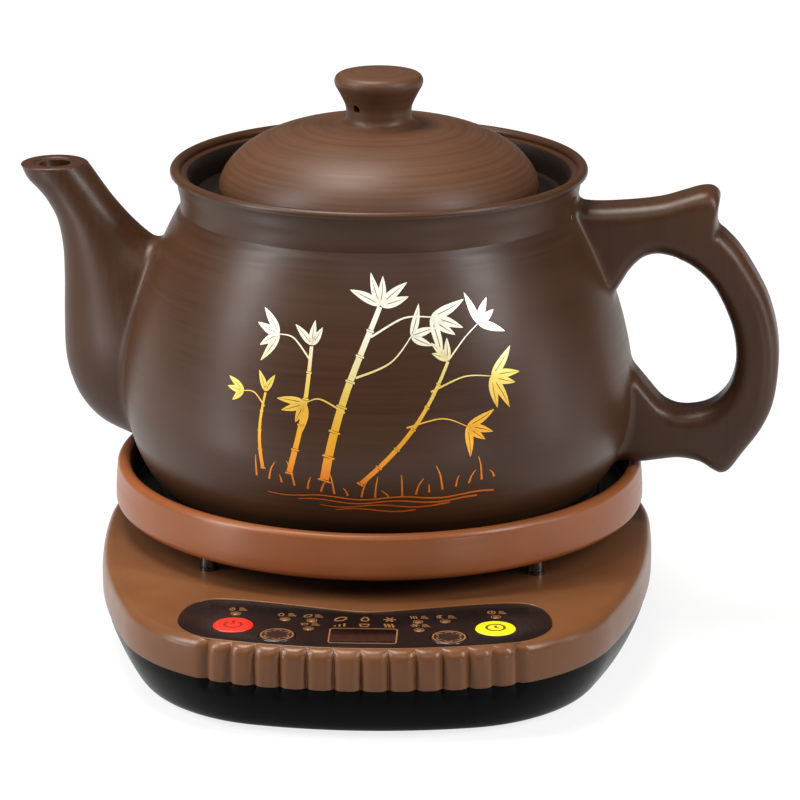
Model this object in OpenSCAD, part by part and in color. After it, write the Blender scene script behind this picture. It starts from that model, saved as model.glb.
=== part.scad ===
// Ceramic decoction pot that stands on an electric heating base.
// Origin: on the axis of the pot, on the plane that the rubber feet stand on.
// +X is the base's right-hand side, -Y its front with the control panel, +Z up.

/* [Base plan] */
// How far the base stands out beyond the collar on each side
base_margin = 4.8; // [2:0.1:15]
// Distance from the pot's axis to the middle of the front edge
base_front = 173.8; // [171:0.2:186]
// Width of the base across its two front corners
corner_w = 198; // [192:1:206]
// How far the front corners lie behind the middle of the front edge
corner_set = 28.8; // [26:0.1:34]
// Width of each rounded front corner
corner_run = 16.3; // [12:0.1:20]
// Radius of the bowed front edge
front_r = 217; // [205:1:240]

/* [Base heights] */
// Height of the rubber feet under the shell
foot_h = 2; // [1:0.1:4]
// Height of the black bottom shell
bottom_h = 20.8; // [19:0.1:26]
// Height of the brown top cover
cover_h = 16.4; // [15:0.1:22]
// Height of the posts between the deck and the collar
post_h = 10.6; // [8:0.1:16]
// How far the bottom shell tapers in towards the floor
taper = 10.5; // [6:0.5:14]
// Radius of the rounded edge of the deck
deck_edge = 4.8; // [3:0.1:5.6]

/* [Walls] */
// Wall thickness of the two base shells
shell_wall = 2.8; // [2:0.1:3.4]
// Thickness of the deck
deck_t = 3; // [2.4:0.1:3.6]
// Thickness of the floor of the bottom shell
floor_t = 2.5; // [2:0.1:3.5]

/* [Front flutes] */
// Number of upright grooves in the front edge
flute_count = 14; // [8:2:14]
// Distance from groove to groove
flute_pitch = 10; // [8:0.1:10.4]
// Radius of a groove
flute_r = 1.9; // [1.2:0.1:2.4]

/* [Control panel] */
// Width of the black panel
panel_w = 152.6; // [150:0.2:158]
// Distance from the front edge to the lower edge of the panel
panel_margin = 7; // [6.4:0.1:8.4]
// Distance from the front edge to the panel's two upper crests
panel_crest = 60.9; // [56:0.1:63]
// Distance from the front edge to the dip between the crests
panel_dip = 47.7; // [43:0.1:51]
// Thickness of the panel
panel_t = 1.6; // [1.2:0.1:1.8]
// Gap between the panel and its recess
panel_gap = 0.15; // [0.1:0.05:0.3]
// Width of the ledge under the panel
panel_ledge = 2.4; // [1.6:0.1:2.6]
// Diameter of the two coloured keys
key_d = 16.5; // [14:0.1:17.5]
// Distance between the two coloured keys
key_span = 106.4; // [98:0.2:110]
// Distance from the front edge to the coloured keys
key_set = 31.2; // [29:0.1:34]
// Diameter of the two ring keys
ring_key_d = 14.8; // [12:0.1:15]
// Distance between the two ring keys
ring_key_span = 69.2; // [60:0.2:72]
// Distance from the front edge to the ring keys
ring_key_set = 20.1; // [19.6:0.1:22]
// How far a key travels when it is pressed
key_travel = 0.6; // [0.4:0.1:0.9]
// Gap round a key
key_gap = 0.25; // [0.2:0.05:0.4]
// Width of the display window
window_w = 27; // [22:0.5:30]
// Depth of the display window, front to back
window_d = 15; // [11:0.5:16]
// Distance from the front edge to the middle of the window
window_set = 20.8; // [19.6:0.1:24]
// Diameter of an indicator lens
lens_d = 3; // [2:0.1:3.6]

/* [Heating head] */
// How far the collar stands out beyond the pot's largest radius
collar_set = 4.7; // [3.7:0.1:7.7]
// Height of the collar
collar_h = 18.4; // [14:0.1:18.8]
// Thickness of the collar's wall
collar_wall = 6; // [3:0.1:6.4]
// Thickness of the collar's inner flange
flange_t = 1.8; // [1.4:0.1:2.4]
// Thickness of the dish that carries the plate
dish_t = 1.2; // [0.8:0.1:1.6]
// Distance from the collar's outside to the edge of the hot plate
plate_set = 19; // [17.5:0.1:22]
// Height of the hot plate above the dish
plate_h = 4.7; // [4.2:0.1:6]
// Thickness of the plate's top
plate_t = 1.8; // [1.2:0.1:2]
// Radius of a support post
post_r = 4; // [3.2:0.1:5]

/* [Temperature sensor] */
// Radius of the sprung sensor cap
sensor_r = 9.2; // [7:0.1:10]
// Gap round the sensor cap
sensor_gap = 0.5; // [0.3:0.1:0.6]
// How far the cap gives
sensor_travel = 3; // [1.5:0.1:3.4]
// Gap between the cap and the pot at rest
sensor_play = 0.3; // [0.2:0.05:0.5]

/* [Pot] */
// Angle of the pot's handle from the base's right-hand side
pot_turn = -5; // [-8:0.5:0]
// Height of the pot from its foot to its rim
pot_h = 139.5; // [130:0.5:150]
// Largest radius of the pot
belly_r = 111.3; // [108:0.1:113]
// Height of the largest radius above the foot
belly_h = 40; // [34:0.5:46]
// How far the foot lies inside the edge of the hot plate
foot_set = 4.8; // [3:0.1:11]
// Depth of the hollow under the pot
foot_hollow = 1.5; // [1:0.1:2.5]
// Thickness of the pot's floor
pot_floor = 6; // [4.5:0.1:8]
// Thickness of the pot's wall
pot_wall = 5.5; // [4.5:0.1:7]
// How far the neck's narrowest point lies inside the largest radius
neck_set = 25.7; // [23:0.1:28]
// Height of the neck's narrowest point below the rim
neck_drop = 15; // [13:0.1:17]
// Radius of the hollow curve of the neck
neck_curve = 23; // [20:0.5:30]
// Radius of the rounded rim's section
rim_r = 2.4; // [2:0.1:3]
// Depth of the lid's ledge below the rim
ledge_drop = 10.5; // [8:0.1:14]
// Thickness of the ledge
ledge_t = 5; // [4:0.1:6]
// Distance from the outside of the neck to the opening inside the ledge
mouth_set = 24.6; // [21.6:0.1:29.6]

/* [Spout] */
// How far the spout's tip stands out from the pot's largest radius
spout_reach = 45.9; // [40:0.1:51]
// How far the spout's mouth lies below the rim
spout_drop = 2.5; // [-2:0.1:9]
// Half the width of the spout where it meets the pot
spout_root_w = 23.5; // [20:0.1:26]
// Wall thickness of the spout
spout_wall = 4.6; // [4:0.1:6]
// Extra thickness of the lip at the mouth
spout_lip = 2; // [1.2:0.1:3]
// Diameter of a strainer hole
strainer_d = 6; // [4:0.1:7]

/* [Handle] */
// How far the handle stands out from the pot's largest radius
handle_reach = 62.5; // [56:0.1:68]
// How far the handle's upper arm lies below the rim
handle_drop = 13.2; // [11.5:0.1:17]
// Height of the handle's lower edge above the foot
handle_low = 12.4; // [12.2:0.1:18]
// Thickness of the handle
handle_t = 24; // [18:0.1:28]
// Radius of the handle's long edges
handle_edge = 7; // [4:0.1:8]

/* [Lid] */
// Distance from the outside of the neck to the edge of the lid
lid_set = 16.6; // [13.6:0.1:19.6]
// Height from the ledge to the foot of the knob
lid_rise = 31; // [26:0.1:36]
// Thickness of the lid
lid_t = 4.6; // [3.6:0.1:6]
// Depth of the ring under the lid that centres it
lid_skirt = 8; // [5:0.1:12]
// Gap between that ring and the mouth
lid_gap = 0.7; // [0.4:0.1:1.2]
// Radius of the knob's top
knob_r = 19.1; // [16:0.1:22]
// Radius of the knob's neck
knob_neck_r = 14; // [11:0.1:15]
// Height of the knob
knob_h = 20.5; // [16:0.1:24]
// Radius of the steam vent in the knob
vent_r = 1.7; // [1:0.1:2.2]
// Direction of the steam vent
vent_turn = -129; // [-180:1:180]

/* [Power inlet] */
// Width of the inlet housing
inlet_w = 27.4; // [26:0.1:28]
// Height of the inlet housing
inlet_h = 19.8; // [19:0.1:20.4]
// Height of the inlet's middle above the floor
inlet_z = 19.4; // [18.6:0.1:20]
// Depth of the inlet housing
inlet_depth = 22; // [18:0.5:26]

/* [Hidden] */
// Smoothness of round bodies and of small round parts
$fn = 96;
small_fn = 32;

// Heights of the stack
split_z = foot_h + bottom_h;
deck_z = split_z + cover_h;
head_z = deck_z + post_h;
dish_z = head_z + flange_t;
plate_base = dish_z + dish_t;
pot_z = plate_base + plate_h;
rim_z = pot_z + pot_h;
ledge_z = rim_z - ledge_drop;

// Radii that follow the pot's largest radius, from the collar and base to the lid
collar_r = belly_r + collar_set;
base_w = 2 * (collar_r + base_margin);
plate_r = collar_r - plate_set;
foot_r = plate_r - foot_set;
neck_r = belly_r - neck_set;
mouth_r = neck_r - mouth_set;
lid_r = neck_r - lid_set;

// Points round one quarter of the base plan, and the slack that joins cuts to edges
side_steps = 18;
back_steps = 16;
corner_steps = 7;
front_steps = 12;
cut = 1;

/* Curves */
function mix(a, b, t) = a + (b - a) * t;
function bezier(p, t) =
    pow(1 - t, 3) * p[0] + 3 * t * pow(1 - t, 2) * p[1] + 3 * t * t * (1 - t) * p[2] + pow(t, 3) * p[3];
function bezier_run(p, steps) = [for (i = [0 : steps - 1]) bezier(p, i / steps)];
function catmull(p0, p1, p2, p3, t) =
    0.5 * (2 * p1 + (p2 - p0) * t + (2 * p0 - 5 * p1 + 4 * p2 - p3) * t * t
        + (3 * p1 - p0 - 3 * p2 + p3) * t * t * t);
function spline(p, steps) = [
    for (i = [0 : len(p) - 2], s = [0 : steps - 1])
        catmull(p[max(i - 1, 0)], p[i], p[i + 1], p[min(i + 2, len(p) - 1)], s / steps),
    p[len(p) - 1]
];
function unit(v) = v / norm(v);

// Half a loop, from one point on the middle line to another, and its mirror image
function both_sides(half) = concat(half, [for (i = [len(half) - 2 : -1 : 1]) [-half[i][0], half[i][1]]]);

// A closed loop moved inwards by a distance; the loop runs clockwise seen from above
function inset_loop(loop, distance) = [
    for (i = [0 : len(loop) - 1])
        let (
            n = len(loop),
            along = unit(loop[(i + 1) % n] - loop[(i + n - 1) % n])
        )
        loop[i] + distance * [along[1], -along[0]]
];

/* Base plan: right half from the back to the front, clockwise, then its mirror image */
corner_y = base_front - corner_set;
front_centre = front_r - base_front;
function front_edge(x) = front_centre - sqrt(front_r * front_r - x * x);
corner_x = corner_w / 2;
corner_end = corner_x - corner_run;
side_curve = [
    [base_w / 2, 0],
    [base_w / 2, -0.33 * corner_y],
    [mix(corner_x, base_w / 2, 0.826), -0.717 * corner_y],
    [corner_x, -corner_y]
];
side_end = unit(side_curve[3] - side_curve[2]);
front_start = unit([front_edge(corner_end) - front_centre, -corner_end]);
corner_curve = [
    side_curve[3],
    side_curve[3] + 0.55 * corner_run * side_end,
    [corner_end, front_edge(corner_end)] - 0.49 * corner_run * front_start,
    [corner_end, front_edge(corner_end)]
];
half_plan = concat(
    [for (i = [0 : back_steps - 1]) base_w / 2 * [sin(90 * i / back_steps), cos(90 * i / back_steps)]],
    bezier_run(side_curve, side_steps),
    bezier_run(corner_curve, corner_steps),
    [for (i = [0 : front_steps]) let (x = corner_end * (1 - i / front_steps)) [x, front_edge(x)]]
);
base_plan = both_sides(half_plan);

// Solid through the same loop at several heights: each level is [height, inset]
module plan_loft(levels) {
    loops = [for (level = levels) inset_loop(base_plan, level[1])];
    n = len(base_plan);
    last = len(levels) - 1;
    points = [for (i = [0 : last], p = loops[i]) [p[0], p[1], levels[i][0]]];
    sides = [
        for (i = [0 : last - 1], j = [0 : n - 1])
            let (a = i * n + j, b = i * n + (j + 1) % n)
            each [[a, b, b + n], [a, b + n, a + n]]
    ];
    polyhedron(points, concat(
        [[for (j = [n - 1 : -1 : 0]) j]],
        sides,
        [[for (j = [0 : n - 1]) last * n + j]]
    ));
}

// Tube or bar through a list of rings with the same number of points
module skin(rings) {
    n = len(rings[0]);
    last = len(rings) - 1;
    points = [for (ring = rings, p = ring) p];
    sides = [
        for (i = [0 : last - 1], j = [0 : n - 1])
            let (a = i * n + j, b = i * n + (j + 1) % n)
            each [[a, b, b + n], [a, b + n, a + n]]
    ];
    polyhedron(points, concat(
        [[for (j = [n - 1 : -1 : 0]) j]],
        sides,
        [[for (j = [0 : n - 1]) last * n + j]]
    ));
}

/* Shapes shared by the shells */
module front_flutes(low, high) {
    first = -(flute_count - 1) / 2 * flute_pitch;
    for (i = [0 : flute_count - 1]) {
        x = first + i * flute_pitch;
        translate([x, front_edge(x) - 0.35 * flute_r, low])
            cylinder(r = flute_r, h = high - low, $fn = small_fn);
    }
}

// Places for the case screws and the feet: in from the sides, back of the axis, back of the corners
boss_set = [36.8, 40, 27];
foot_place_set = [52.8, 66, 18];
function places(set) =
    [for (y = [set[1], set[2] - corner_y], side = [1, -1]) [side * (base_w / 2 - set[0]), y]];
boss_places = places(boss_set);
foot_places = places(foot_place_set);
boss_r = 5;
screw_r = 1.6;
screw_head_r = 3.4;
screw_head_h = 1.2;
screw_sink = 1.4;
screw_l = 15;
screw_gap = 0.2;
head_gap = 0.3;
foot_pad_r = 9;
foot_stub_r = 3;
foot_stub_end = 0.6;

// Posts stand midway between the hot plate and the wall of its dish
collar_in = collar_r - collar_wall;
dish_gap = 0.6;
dish_r = collar_in - dish_gap;
post_circle = (plate_r + dish_r - dish_t) / 2;
post_angle = 47.7;
post_places = [for (a = [post_angle, 180 - post_angle, 180 + post_angle, -post_angle])
    post_circle * [cos(a), sin(a)]];
bolt_r = 2;
bolt_head_r = 3.6;
bolt_head_h = 2.4;
bolt_gap = 0.2;
bolt_end = 1;
nut_r = 3.6;
nut_h = 2.4;
conduit_r = 20;
conduit_wall = 2;

// Inlet window and the boss round it
inlet_gap = 0.3;
inlet_face = base_w / 2 - 1.2;
inlet_rim = 3;
socket_w = 24.5;
socket_h = 17;
socket_depth = 16.5;
socket_corner = 4.5;
inlet_flange = 2;
inlet_flange_set = 3;

module inlet_window() {
    translate([-inlet_w / 2 - inlet_gap, inlet_face - inlet_depth, inlet_z - inlet_h / 2 - inlet_gap])
        cube([inlet_w + 2 * inlet_gap, inlet_depth * 2, inlet_h + 2 * inlet_gap]);
}

/* Panel outline: right half from the dip over the crest to the lower edge, clockwise */
panel_crest_y = base_front - panel_crest;
panel_dip_y = base_front - panel_dip;
panel_low_y = base_front - panel_margin;
panel_bow = 300;
panel_crest_x = 0.71 * panel_w / 2;
function panel_low(x) = -panel_low_y + panel_bow - sqrt(panel_bow * panel_bow - x * x);
panel_end_y = -mix(panel_crest_y, panel_low_y, 0.45);
panel_corner_set = 11;
panel_corner_x = panel_w / 2 - panel_corner_set;
panel_corner = [panel_corner_x, panel_low(panel_corner_x)];
panel_corner_pull = [6, 1.6];
panel_dip_pull = 14;
panel_end_pull = 13;
half_panel = concat(
    bezier_run([[0, -panel_dip_y], [panel_dip_pull, -panel_dip_y],
        [0.46 * panel_crest_x, -panel_crest_y], [panel_crest_x, -panel_crest_y]], 10),
    bezier_run([[panel_crest_x, -panel_crest_y], [panel_crest_x + panel_dip_pull, -panel_crest_y],
        [panel_w / 2, panel_end_y + panel_end_pull], [panel_w / 2, panel_end_y]], 9),
    bezier_run([[panel_w / 2, panel_end_y], [panel_w / 2, panel_end_y - panel_end_pull],
        panel_corner + panel_corner_pull, panel_corner], 8),
    [for (i = [0 : 8]) let (x = panel_corner_x * (1 - i / 8)) [x, panel_low(x)]]
);
panel_loop = both_sides(half_panel);

// Keys, window and lamps; a lamp sits behind each coloured key and three beside each ring key
key_x = key_span / 2;
key_y = base_front - key_set;
ring_key_x = ring_key_span / 2;
ring_key_y = base_front - ring_key_set;
window_y = base_front - window_set;
key_places = [[-key_x, -key_y], [key_x, -key_y]];
ring_key_places = [[-ring_key_x, -ring_key_y], [ring_key_x, -ring_key_y]];
key_lamp = 13.2;
ring_key_lamps = [[-2, 18.5], [-13, 17.5], [-12.2, 8.1]];
lens_places = [
    for (side = [-1, 1])
        each [
            [side * key_x, key_lamp - key_y],
            for (step = ring_key_lamps) [side * (ring_key_x + step[0]), step[1] - ring_key_y]
        ]
];
lens_sink = 0.4;
lens_proud = 0.2;
panel_top = deck_z;
panel_base = deck_z - panel_t;
deck_under = deck_z - deck_t;

// Control board under the panel
board_t = 1.6;
switch_side = 6;
switch_h = 3;
plunger_r = 1.6;
plunger_h = 0.6;
key_flange = 0.9;
key_flange_t = 0.9;
key_proud = 0.3;
key_play = 0.1;
key_stem = 0.5;
key_top = panel_top + key_proud;
key_flange_top = panel_base - key_play;
key_stem_base = key_flange_top - key_flange_t - key_stem;
switch_top = key_stem_base - key_travel - key_play;
board_top = switch_top - plunger_h - switch_h;
board_gap = 1;
board_side = boss_places[0][0] - boss_r - board_gap;
board_edge = 5;
board_back = 4.9 - panel_crest_y;
board_front = 6.8 - panel_low_y;
board_chamfer = [14, 20];
board_outline = [
    [-board_side, board_back], [board_side, board_back], [board_side, board_front + board_chamfer[1]],
    [board_side - board_chamfer[0], board_front], [board_chamfer[0] - board_side, board_front],
    [-board_side, board_front + board_chamfer[1]]
];
board_post_r = 2.6;
board_places = [
    for (side = [-1, 1])
        each [[side * (board_side - board_edge), -panel_crest_y], [side * 10, 7.1 - panel_dip_y]]
];
window_lip = 1;
window_lip_t = 0.8;

// Cooling slots in the floor, counted to each side of the middle one
slots_each_side = 4;
slot_pitch = 7;
slot_w = 2.5;
slot_l = 26;
slot_rows = [-60, -20];

/* Base */
module bottom_shell() {
    cavity_low = foot_h + floor_t;
    shell_mid = foot_h + 0.45 * bottom_h;
    inlet_back = inlet_face - inlet_depth + inlet_flange_set;
    color("#141414")
        difference() {
            union() {
                difference() {
                    plan_loft([
                        [foot_h, taper], [foot_h + 0.06 * bottom_h, 0.86 * taper],
                        [foot_h + 0.2 * bottom_h, 0.66 * taper], [shell_mid, 0.4 * taper],
                        [foot_h + 0.75 * bottom_h, 0.17 * taper], [split_z, 0.06 * taper]
                    ]);
                    plan_loft([
                        [cavity_low, 0.82 * taper + shell_wall], [shell_mid, 0.5 * taper + shell_wall],
                        [split_z + cut, 0.06 * taper + shell_wall]
                    ]);
                    front_flutes(split_z - 0.25 * bottom_h, split_z + cut);
                }
                for (place = power_board_places)
                    translate([place[0], place[1], foot_h])
                        cylinder(r = power_post_r, h = power_board_z - foot_h, $fn = small_fn);
                translate([-inlet_w / 2 - inlet_rim, inlet_back, foot_h + floor_t])
                    cube([inlet_w + 2 * inlet_rim, inlet_depth - inlet_flange_set, bottom_h - floor_t]);
            }
            inlet_window();
            for (place = boss_places) {
                translate([place[0], place[1], foot_h - cut])
                    cylinder(r = screw_r + screw_gap, h = floor_t + 2 * cut, $fn = small_fn);
                translate([place[0], place[1], foot_h - cut])
                    cylinder(r = screw_head_r + head_gap, h = cut + screw_sink, $fn = small_fn);
            }
            for (place = foot_places)
                translate([place[0], place[1], foot_h - cut])
                    cylinder(r = foot_stub_r, h = floor_t + 2 * cut, $fn = small_fn);
            for (place = power_board_places)
                translate([place[0], place[1], power_board_z - board_screw_l])
                    cylinder(r = board_screw_r, h = board_screw_l + cut, $fn = small_fn);
            for (i = [-slots_each_side : slots_each_side], y = slot_rows)
                translate([i * slot_pitch - slot_w / 2, y, foot_h - cut])
                    cube([slot_w, slot_l, floor_t + 2 * cut]);
        }
}

module rubber_feet() {
    color("#1c1c1c")
        for (place = foot_places)
            translate([place[0], place[1], 0]) {
                cylinder(r = foot_pad_r, h = foot_h, $fn = small_fn);
                cylinder(r = foot_stub_r, h = foot_h + floor_t + foot_stub_end, $fn = small_fn);
            }
}

module top_cover() {
    skirt_levels = [
        [split_z, 0], [deck_z - deck_edge, 0.1 * deck_edge],
        [deck_z - 0.62 * deck_edge, 0.16 * deck_edge], [deck_z - 0.3 * deck_edge, 0.36 * deck_edge],
        [deck_z - 0.09 * deck_edge, 0.66 * deck_edge], [deck_z, deck_edge]
    ];
    color("#7a4e30")
        difference() {
            union() {
                difference() {
                    plan_loft(skirt_levels);
                    plan_loft([
                        [split_z - cut, shell_wall], [deck_under - 1.5, shell_wall + 0.1 * deck_edge],
                        [deck_under, shell_wall + 2]
                    ]);
                    front_flutes(split_z - cut, deck_z - 0.16 * deck_edge);
                }
                for (place = boss_places)
                    translate([place[0], place[1], foot_h + floor_t])
                        cylinder(r = boss_r, h = deck_z - deck_t / 2 - foot_h - floor_t, $fn = small_fn);
                for (place = board_places)
                    translate([place[0], place[1], board_top])
                        cylinder(r = board_post_r, h = deck_z - deck_t / 2 - board_top, $fn = small_fn);
            }
            translate([0, 0, panel_base]) linear_extrude(panel_t + cut) polygon(panel_loop);
            translate([0, 0, deck_under - cut])
                linear_extrude(deck_t + 2 * cut) polygon(inset_loop(panel_loop, panel_ledge));
            inlet_window();
            for (place = boss_places)
                translate([place[0], place[1], foot_h])
                    cylinder(r = screw_r, h = screw_l + screw_sink, $fn = small_fn);
            for (place = board_places)
                translate([place[0], place[1], board_top - cut])
                    cylinder(r = board_screw_r, h = board_screw_l - board_t + cut, $fn = small_fn);
            for (place = post_places)
                translate([place[0], place[1], deck_under - cut])
                    cylinder(r = bolt_r + bolt_gap, h = deck_t + 2 * cut, $fn = small_fn);
            translate([0, 0, deck_under - cut]) cylinder(r = lead_hole_r, h = deck_t + 2 * cut);
        }
}

module case_screws() {
    color("silver")
        for (place = boss_places)
            translate([place[0], place[1], foot_h + screw_sink - screw_head_h]) {
                cylinder(r = screw_head_r, h = screw_head_h, $fn = small_fn);
                cylinder(r = screw_r, h = screw_l, $fn = small_fn);
            }
}

/* Control panel */
module control_panel() {
    color("#151112")
        difference() {
            translate([0, 0, panel_base]) linear_extrude(panel_t) polygon(inset_loop(panel_loop, panel_gap));
            for (place = key_places)
                translate([place[0], place[1], panel_base - cut])
                    cylinder(r = key_d / 2 + key_gap, h = panel_t + 2 * cut, $fn = small_fn);
            for (place = ring_key_places)
                translate([place[0], place[1], panel_base - cut])
                    cylinder(r = ring_key_d / 2 + key_gap, h = panel_t + 2 * cut, $fn = small_fn);
            for (place = lens_places)
                translate([place[0], place[1], panel_base - cut])
                    cylinder(r = lens_d / 2, h = panel_t + 2 * cut, $fn = small_fn);
            translate([-window_w / 2, -window_y - window_d / 2, panel_base - cut])
                cube([window_w, window_d, panel_t + 2 * cut]);
        }
}

module display_window() {
    color("#3a2320")
        translate([0, -window_y, panel_base]) {
            translate([-window_w / 2, -window_d / 2, 0]) cube([window_w, window_d, panel_t]);
            translate([-window_w / 2 - window_lip, -window_d / 2 - window_lip, -window_lip_t])
                cube([window_w + 2 * window_lip, window_d + 2 * window_lip, window_lip_t]);
        }
}

module indicator_lenses() {
    color("#c8924a")
        for (place = lens_places)
            translate([place[0], place[1], panel_base - lens_sink])
                cylinder(r = lens_d / 2, h = lens_sink + panel_t + lens_proud, $fn = small_fn);
}

module key(place, diameter) {
    translate([place[0], place[1], 0]) {
        translate([0, 0, key_flange_top - key_flange_t])
            cylinder(r = diameter / 2 + key_flange, h = key_flange_t, $fn = small_fn);
        translate([0, 0, key_flange_top - key_flange_t])
            cylinder(r = diameter / 2, h = key_top - key_flange_top + key_flange_t, $fn = small_fn);
        translate([0, 0, key_stem_base])
            cylinder(r = plunger_r, h = key_flange_top - key_stem_base, $fn = small_fn);
    }
}

module power_key() { color("#f8301c") key(key_places[0], key_d); }
module timer_key() { color("#f8e020") key(key_places[1], key_d); }
module minus_key() { color("#171314") key(ring_key_places[0], ring_key_d); }
module plus_key() { color("#171314") key(ring_key_places[1], ring_key_d); }

/* Control board */
module control_board() {
    color("#1f5a33")
        difference() {
            translate([0, 0, board_top - board_t]) linear_extrude(board_t) polygon(board_outline);
            for (place = board_places)
                translate([place[0], place[1], board_top - board_t - cut])
                    cylinder(r = board_screw_r + screw_gap, h = board_t + 2 * cut, $fn = small_fn);
        }
}

module tact_switches() {
    color("#2a2a2a")
        for (place = concat(key_places, ring_key_places))
            translate([place[0], place[1], board_top]) {
                translate([-switch_side / 2, -switch_side / 2, 0]) cube([switch_side, switch_side, switch_h]);
                cylinder(r = plunger_r, h = switch_h + plunger_h, $fn = small_fn);
            }
}

module indicator_leds() {
    color("#e8e4d8")
        for (place = lens_places)
            translate([place[0], place[1], board_top])
                cylinder(r = lens_d / 2 - key_play, h = panel_base - lens_sink - board_top, $fn = small_fn);
}

module display_module() {
    module_h = panel_base - window_lip_t - board_top;
    color("#303236")
        translate([window_lip - window_w / 2, window_lip - window_y - window_d / 2, board_top])
            cube([window_w - 2 * window_lip, window_d - 2 * window_lip, module_h]);
}

/* Power board on the floor of the bottom shell; its parts are set in from the board's edges */
power_board_z = foot_h + floor_t + 4.5;
power_board_size = [118, 76];
power_board_gap = 11.6;
power_board_y = inlet_face - inlet_depth - power_board_gap - power_board_size[1] / 2;
power_post_r = 3.4;
board_screw_r = 1.25;
board_screw_l = 6;
board_screw_end = 1;
board_head_r = 2.4;
board_head_h = 1.6;
power_board_places = [
    for (sx = [-1, 1], sy = [-1, 1])
        [sx * (power_board_size[0] / 2 - board_edge),
            power_board_y + sy * (power_board_size[1] / 2 - board_edge)]
];
power_top = power_board_z + board_t;

module power_board() {
    color("#b9894a")
        difference() {
            translate([-power_board_size[0] / 2, power_board_y - power_board_size[1] / 2, power_board_z])
                cube([power_board_size[0], power_board_size[1], board_t]);
            for (place = power_board_places)
                translate([place[0], place[1], power_board_z - cut])
                    cylinder(r = board_screw_r + screw_gap, h = board_t + 2 * cut, $fn = small_fn);
        }
}

module board_screw() {
    cylinder(r = board_head_r, h = board_head_h, $fn = small_fn);
    translate([0, 0, board_t + board_screw_end - board_screw_l])
        cylinder(r = board_screw_r, h = board_screw_l - board_screw_end, $fn = small_fn);
}

module board_screws() {
    color("silver") {
        for (place = power_board_places)
            translate([place[0], place[1], power_top]) board_screw();
        for (place = board_places)
            translate([place[0], place[1], board_top - board_t]) mirror([0, 0, 1]) board_screw();
    }
}

module on_power_board(place) {
    translate([place[0], power_board_y + place[1], power_top]) children();
}

board_half = power_board_size / 2;
transformer_size = [32, 27, 16];
transformer_place = [11 - board_half[0], board_half[1] - 17 - transformer_size[1]];
bobbin_w = 20;
bobbin_t = 3;
module transformer() {
    color("#3b3430")
        on_power_board(transformer_place) {
            translate([0, 0, bobbin_t]) cube(transformer_size);
            translate([(transformer_size[0] - bobbin_w) / 2, -bobbin_t, 0]) {
                cube([bobbin_w, transformer_size[1] + 2 * bobbin_t, bobbin_t]);
                for (y = [0, transformer_size[1] + bobbin_t])
                    translate([0, y, bobbin_t]) cube([bobbin_w, bobbin_t, transformer_size[2] - bobbin_t]);
            }
        }
}

relay_size = [19, 15.5, 15];
relay_place = [board_half[0] - 20 - relay_size[0], board_half[1] - 14.5 - relay_size[1]];
module relay() { color("#22417a") on_power_board(relay_place) cube(relay_size); }

filter_size = [18, 8.5, 14];
filter_place = [relay_place[0] - 10 - filter_size[0], board_half[1] - 15.5 - filter_size[1]];
module filter_capacitor() { color("#c9a227") on_power_board(filter_place) cube(filter_size); }

smoothing_r = 5;
smoothing_h = 16;
smoothing_place = [transformer_place[0] + transformer_size[0] + 7 + smoothing_r, 26 - board_half[1]];
module smoothing_capacitor() {
    color("#26324a")
        on_power_board(smoothing_place) cylinder(r = smoothing_r, h = smoothing_h, $fn = small_fn);
}

buzzer_r = 6;
buzzer_h = 8;
buzzer_hole_r = 1;
buzzer_place = [board_half[0] - 9 - buzzer_r, 10 + buzzer_r - board_half[1]];
module buzzer() {
    color("#1a1a1a")
        on_power_board(buzzer_place)
            difference() {
                cylinder(r = buzzer_r, h = buzzer_h, $fn = small_fn);
                translate([0, 0, buzzer_h - cut]) cylinder(r = buzzer_hole_r, h = 2 * cut, $fn = small_fn);
            }
}

terminal_size = [26, 9, 11];
terminal_place = [board_half[0] - 25 - terminal_size[0], board_edge - board_half[1]];
module terminal_block() { color("#2f6b4f") on_power_board(terminal_place) cube(terminal_size); }

/* Support posts between the deck and the heating head */
module support_posts() {
    color("silver")
        for (place = post_places)
            translate([place[0], place[1], deck_z])
                difference() {
                    cylinder(r = post_r, h = post_h, $fn = small_fn);
                    translate([0, 0, -cut]) cylinder(r = bolt_r, h = post_h + 2 * cut, $fn = small_fn);
                }
}

module post_bolts() {
    bolt_l = bolt_head_h + plate_base + nut_h + bolt_end - deck_under;
    color("#b8b8b8")
        for (place = post_places) {
            translate([place[0], place[1], deck_under - bolt_head_h])
                cylinder(r = bolt_head_r, h = bolt_head_h, $fn = 6);
            translate([place[0], place[1], deck_under - bolt_head_h])
                cylinder(r = bolt_r, h = bolt_l, $fn = small_fn);
        }
}

module post_nuts() {
    color("#b8b8b8")
        for (place = post_places)
            translate([place[0], place[1], plate_base])
                difference() {
                    cylinder(r = nut_r, h = nut_h, $fn = 6);
                    translate([0, 0, -cut]) cylinder(r = bolt_r, h = nut_h + 2 * cut, $fn = small_fn);
                }
}

module lead_conduit() {
    color("#202020")
        translate([0, 0, deck_z])
            difference() {
                cylinder(r = conduit_r, h = dish_z - deck_z);
                translate([0, 0, -cut]) cylinder(r = conduit_r - conduit_wall, h = dish_z - deck_z + 2 * cut);
            }
}

/* Heating head */
collar_top = head_z + collar_h;
collar_base_edge = 3;
collar_lean = 0.8;
flange_lap = 9;
flange_in = plate_r - flange_lap;

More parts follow.
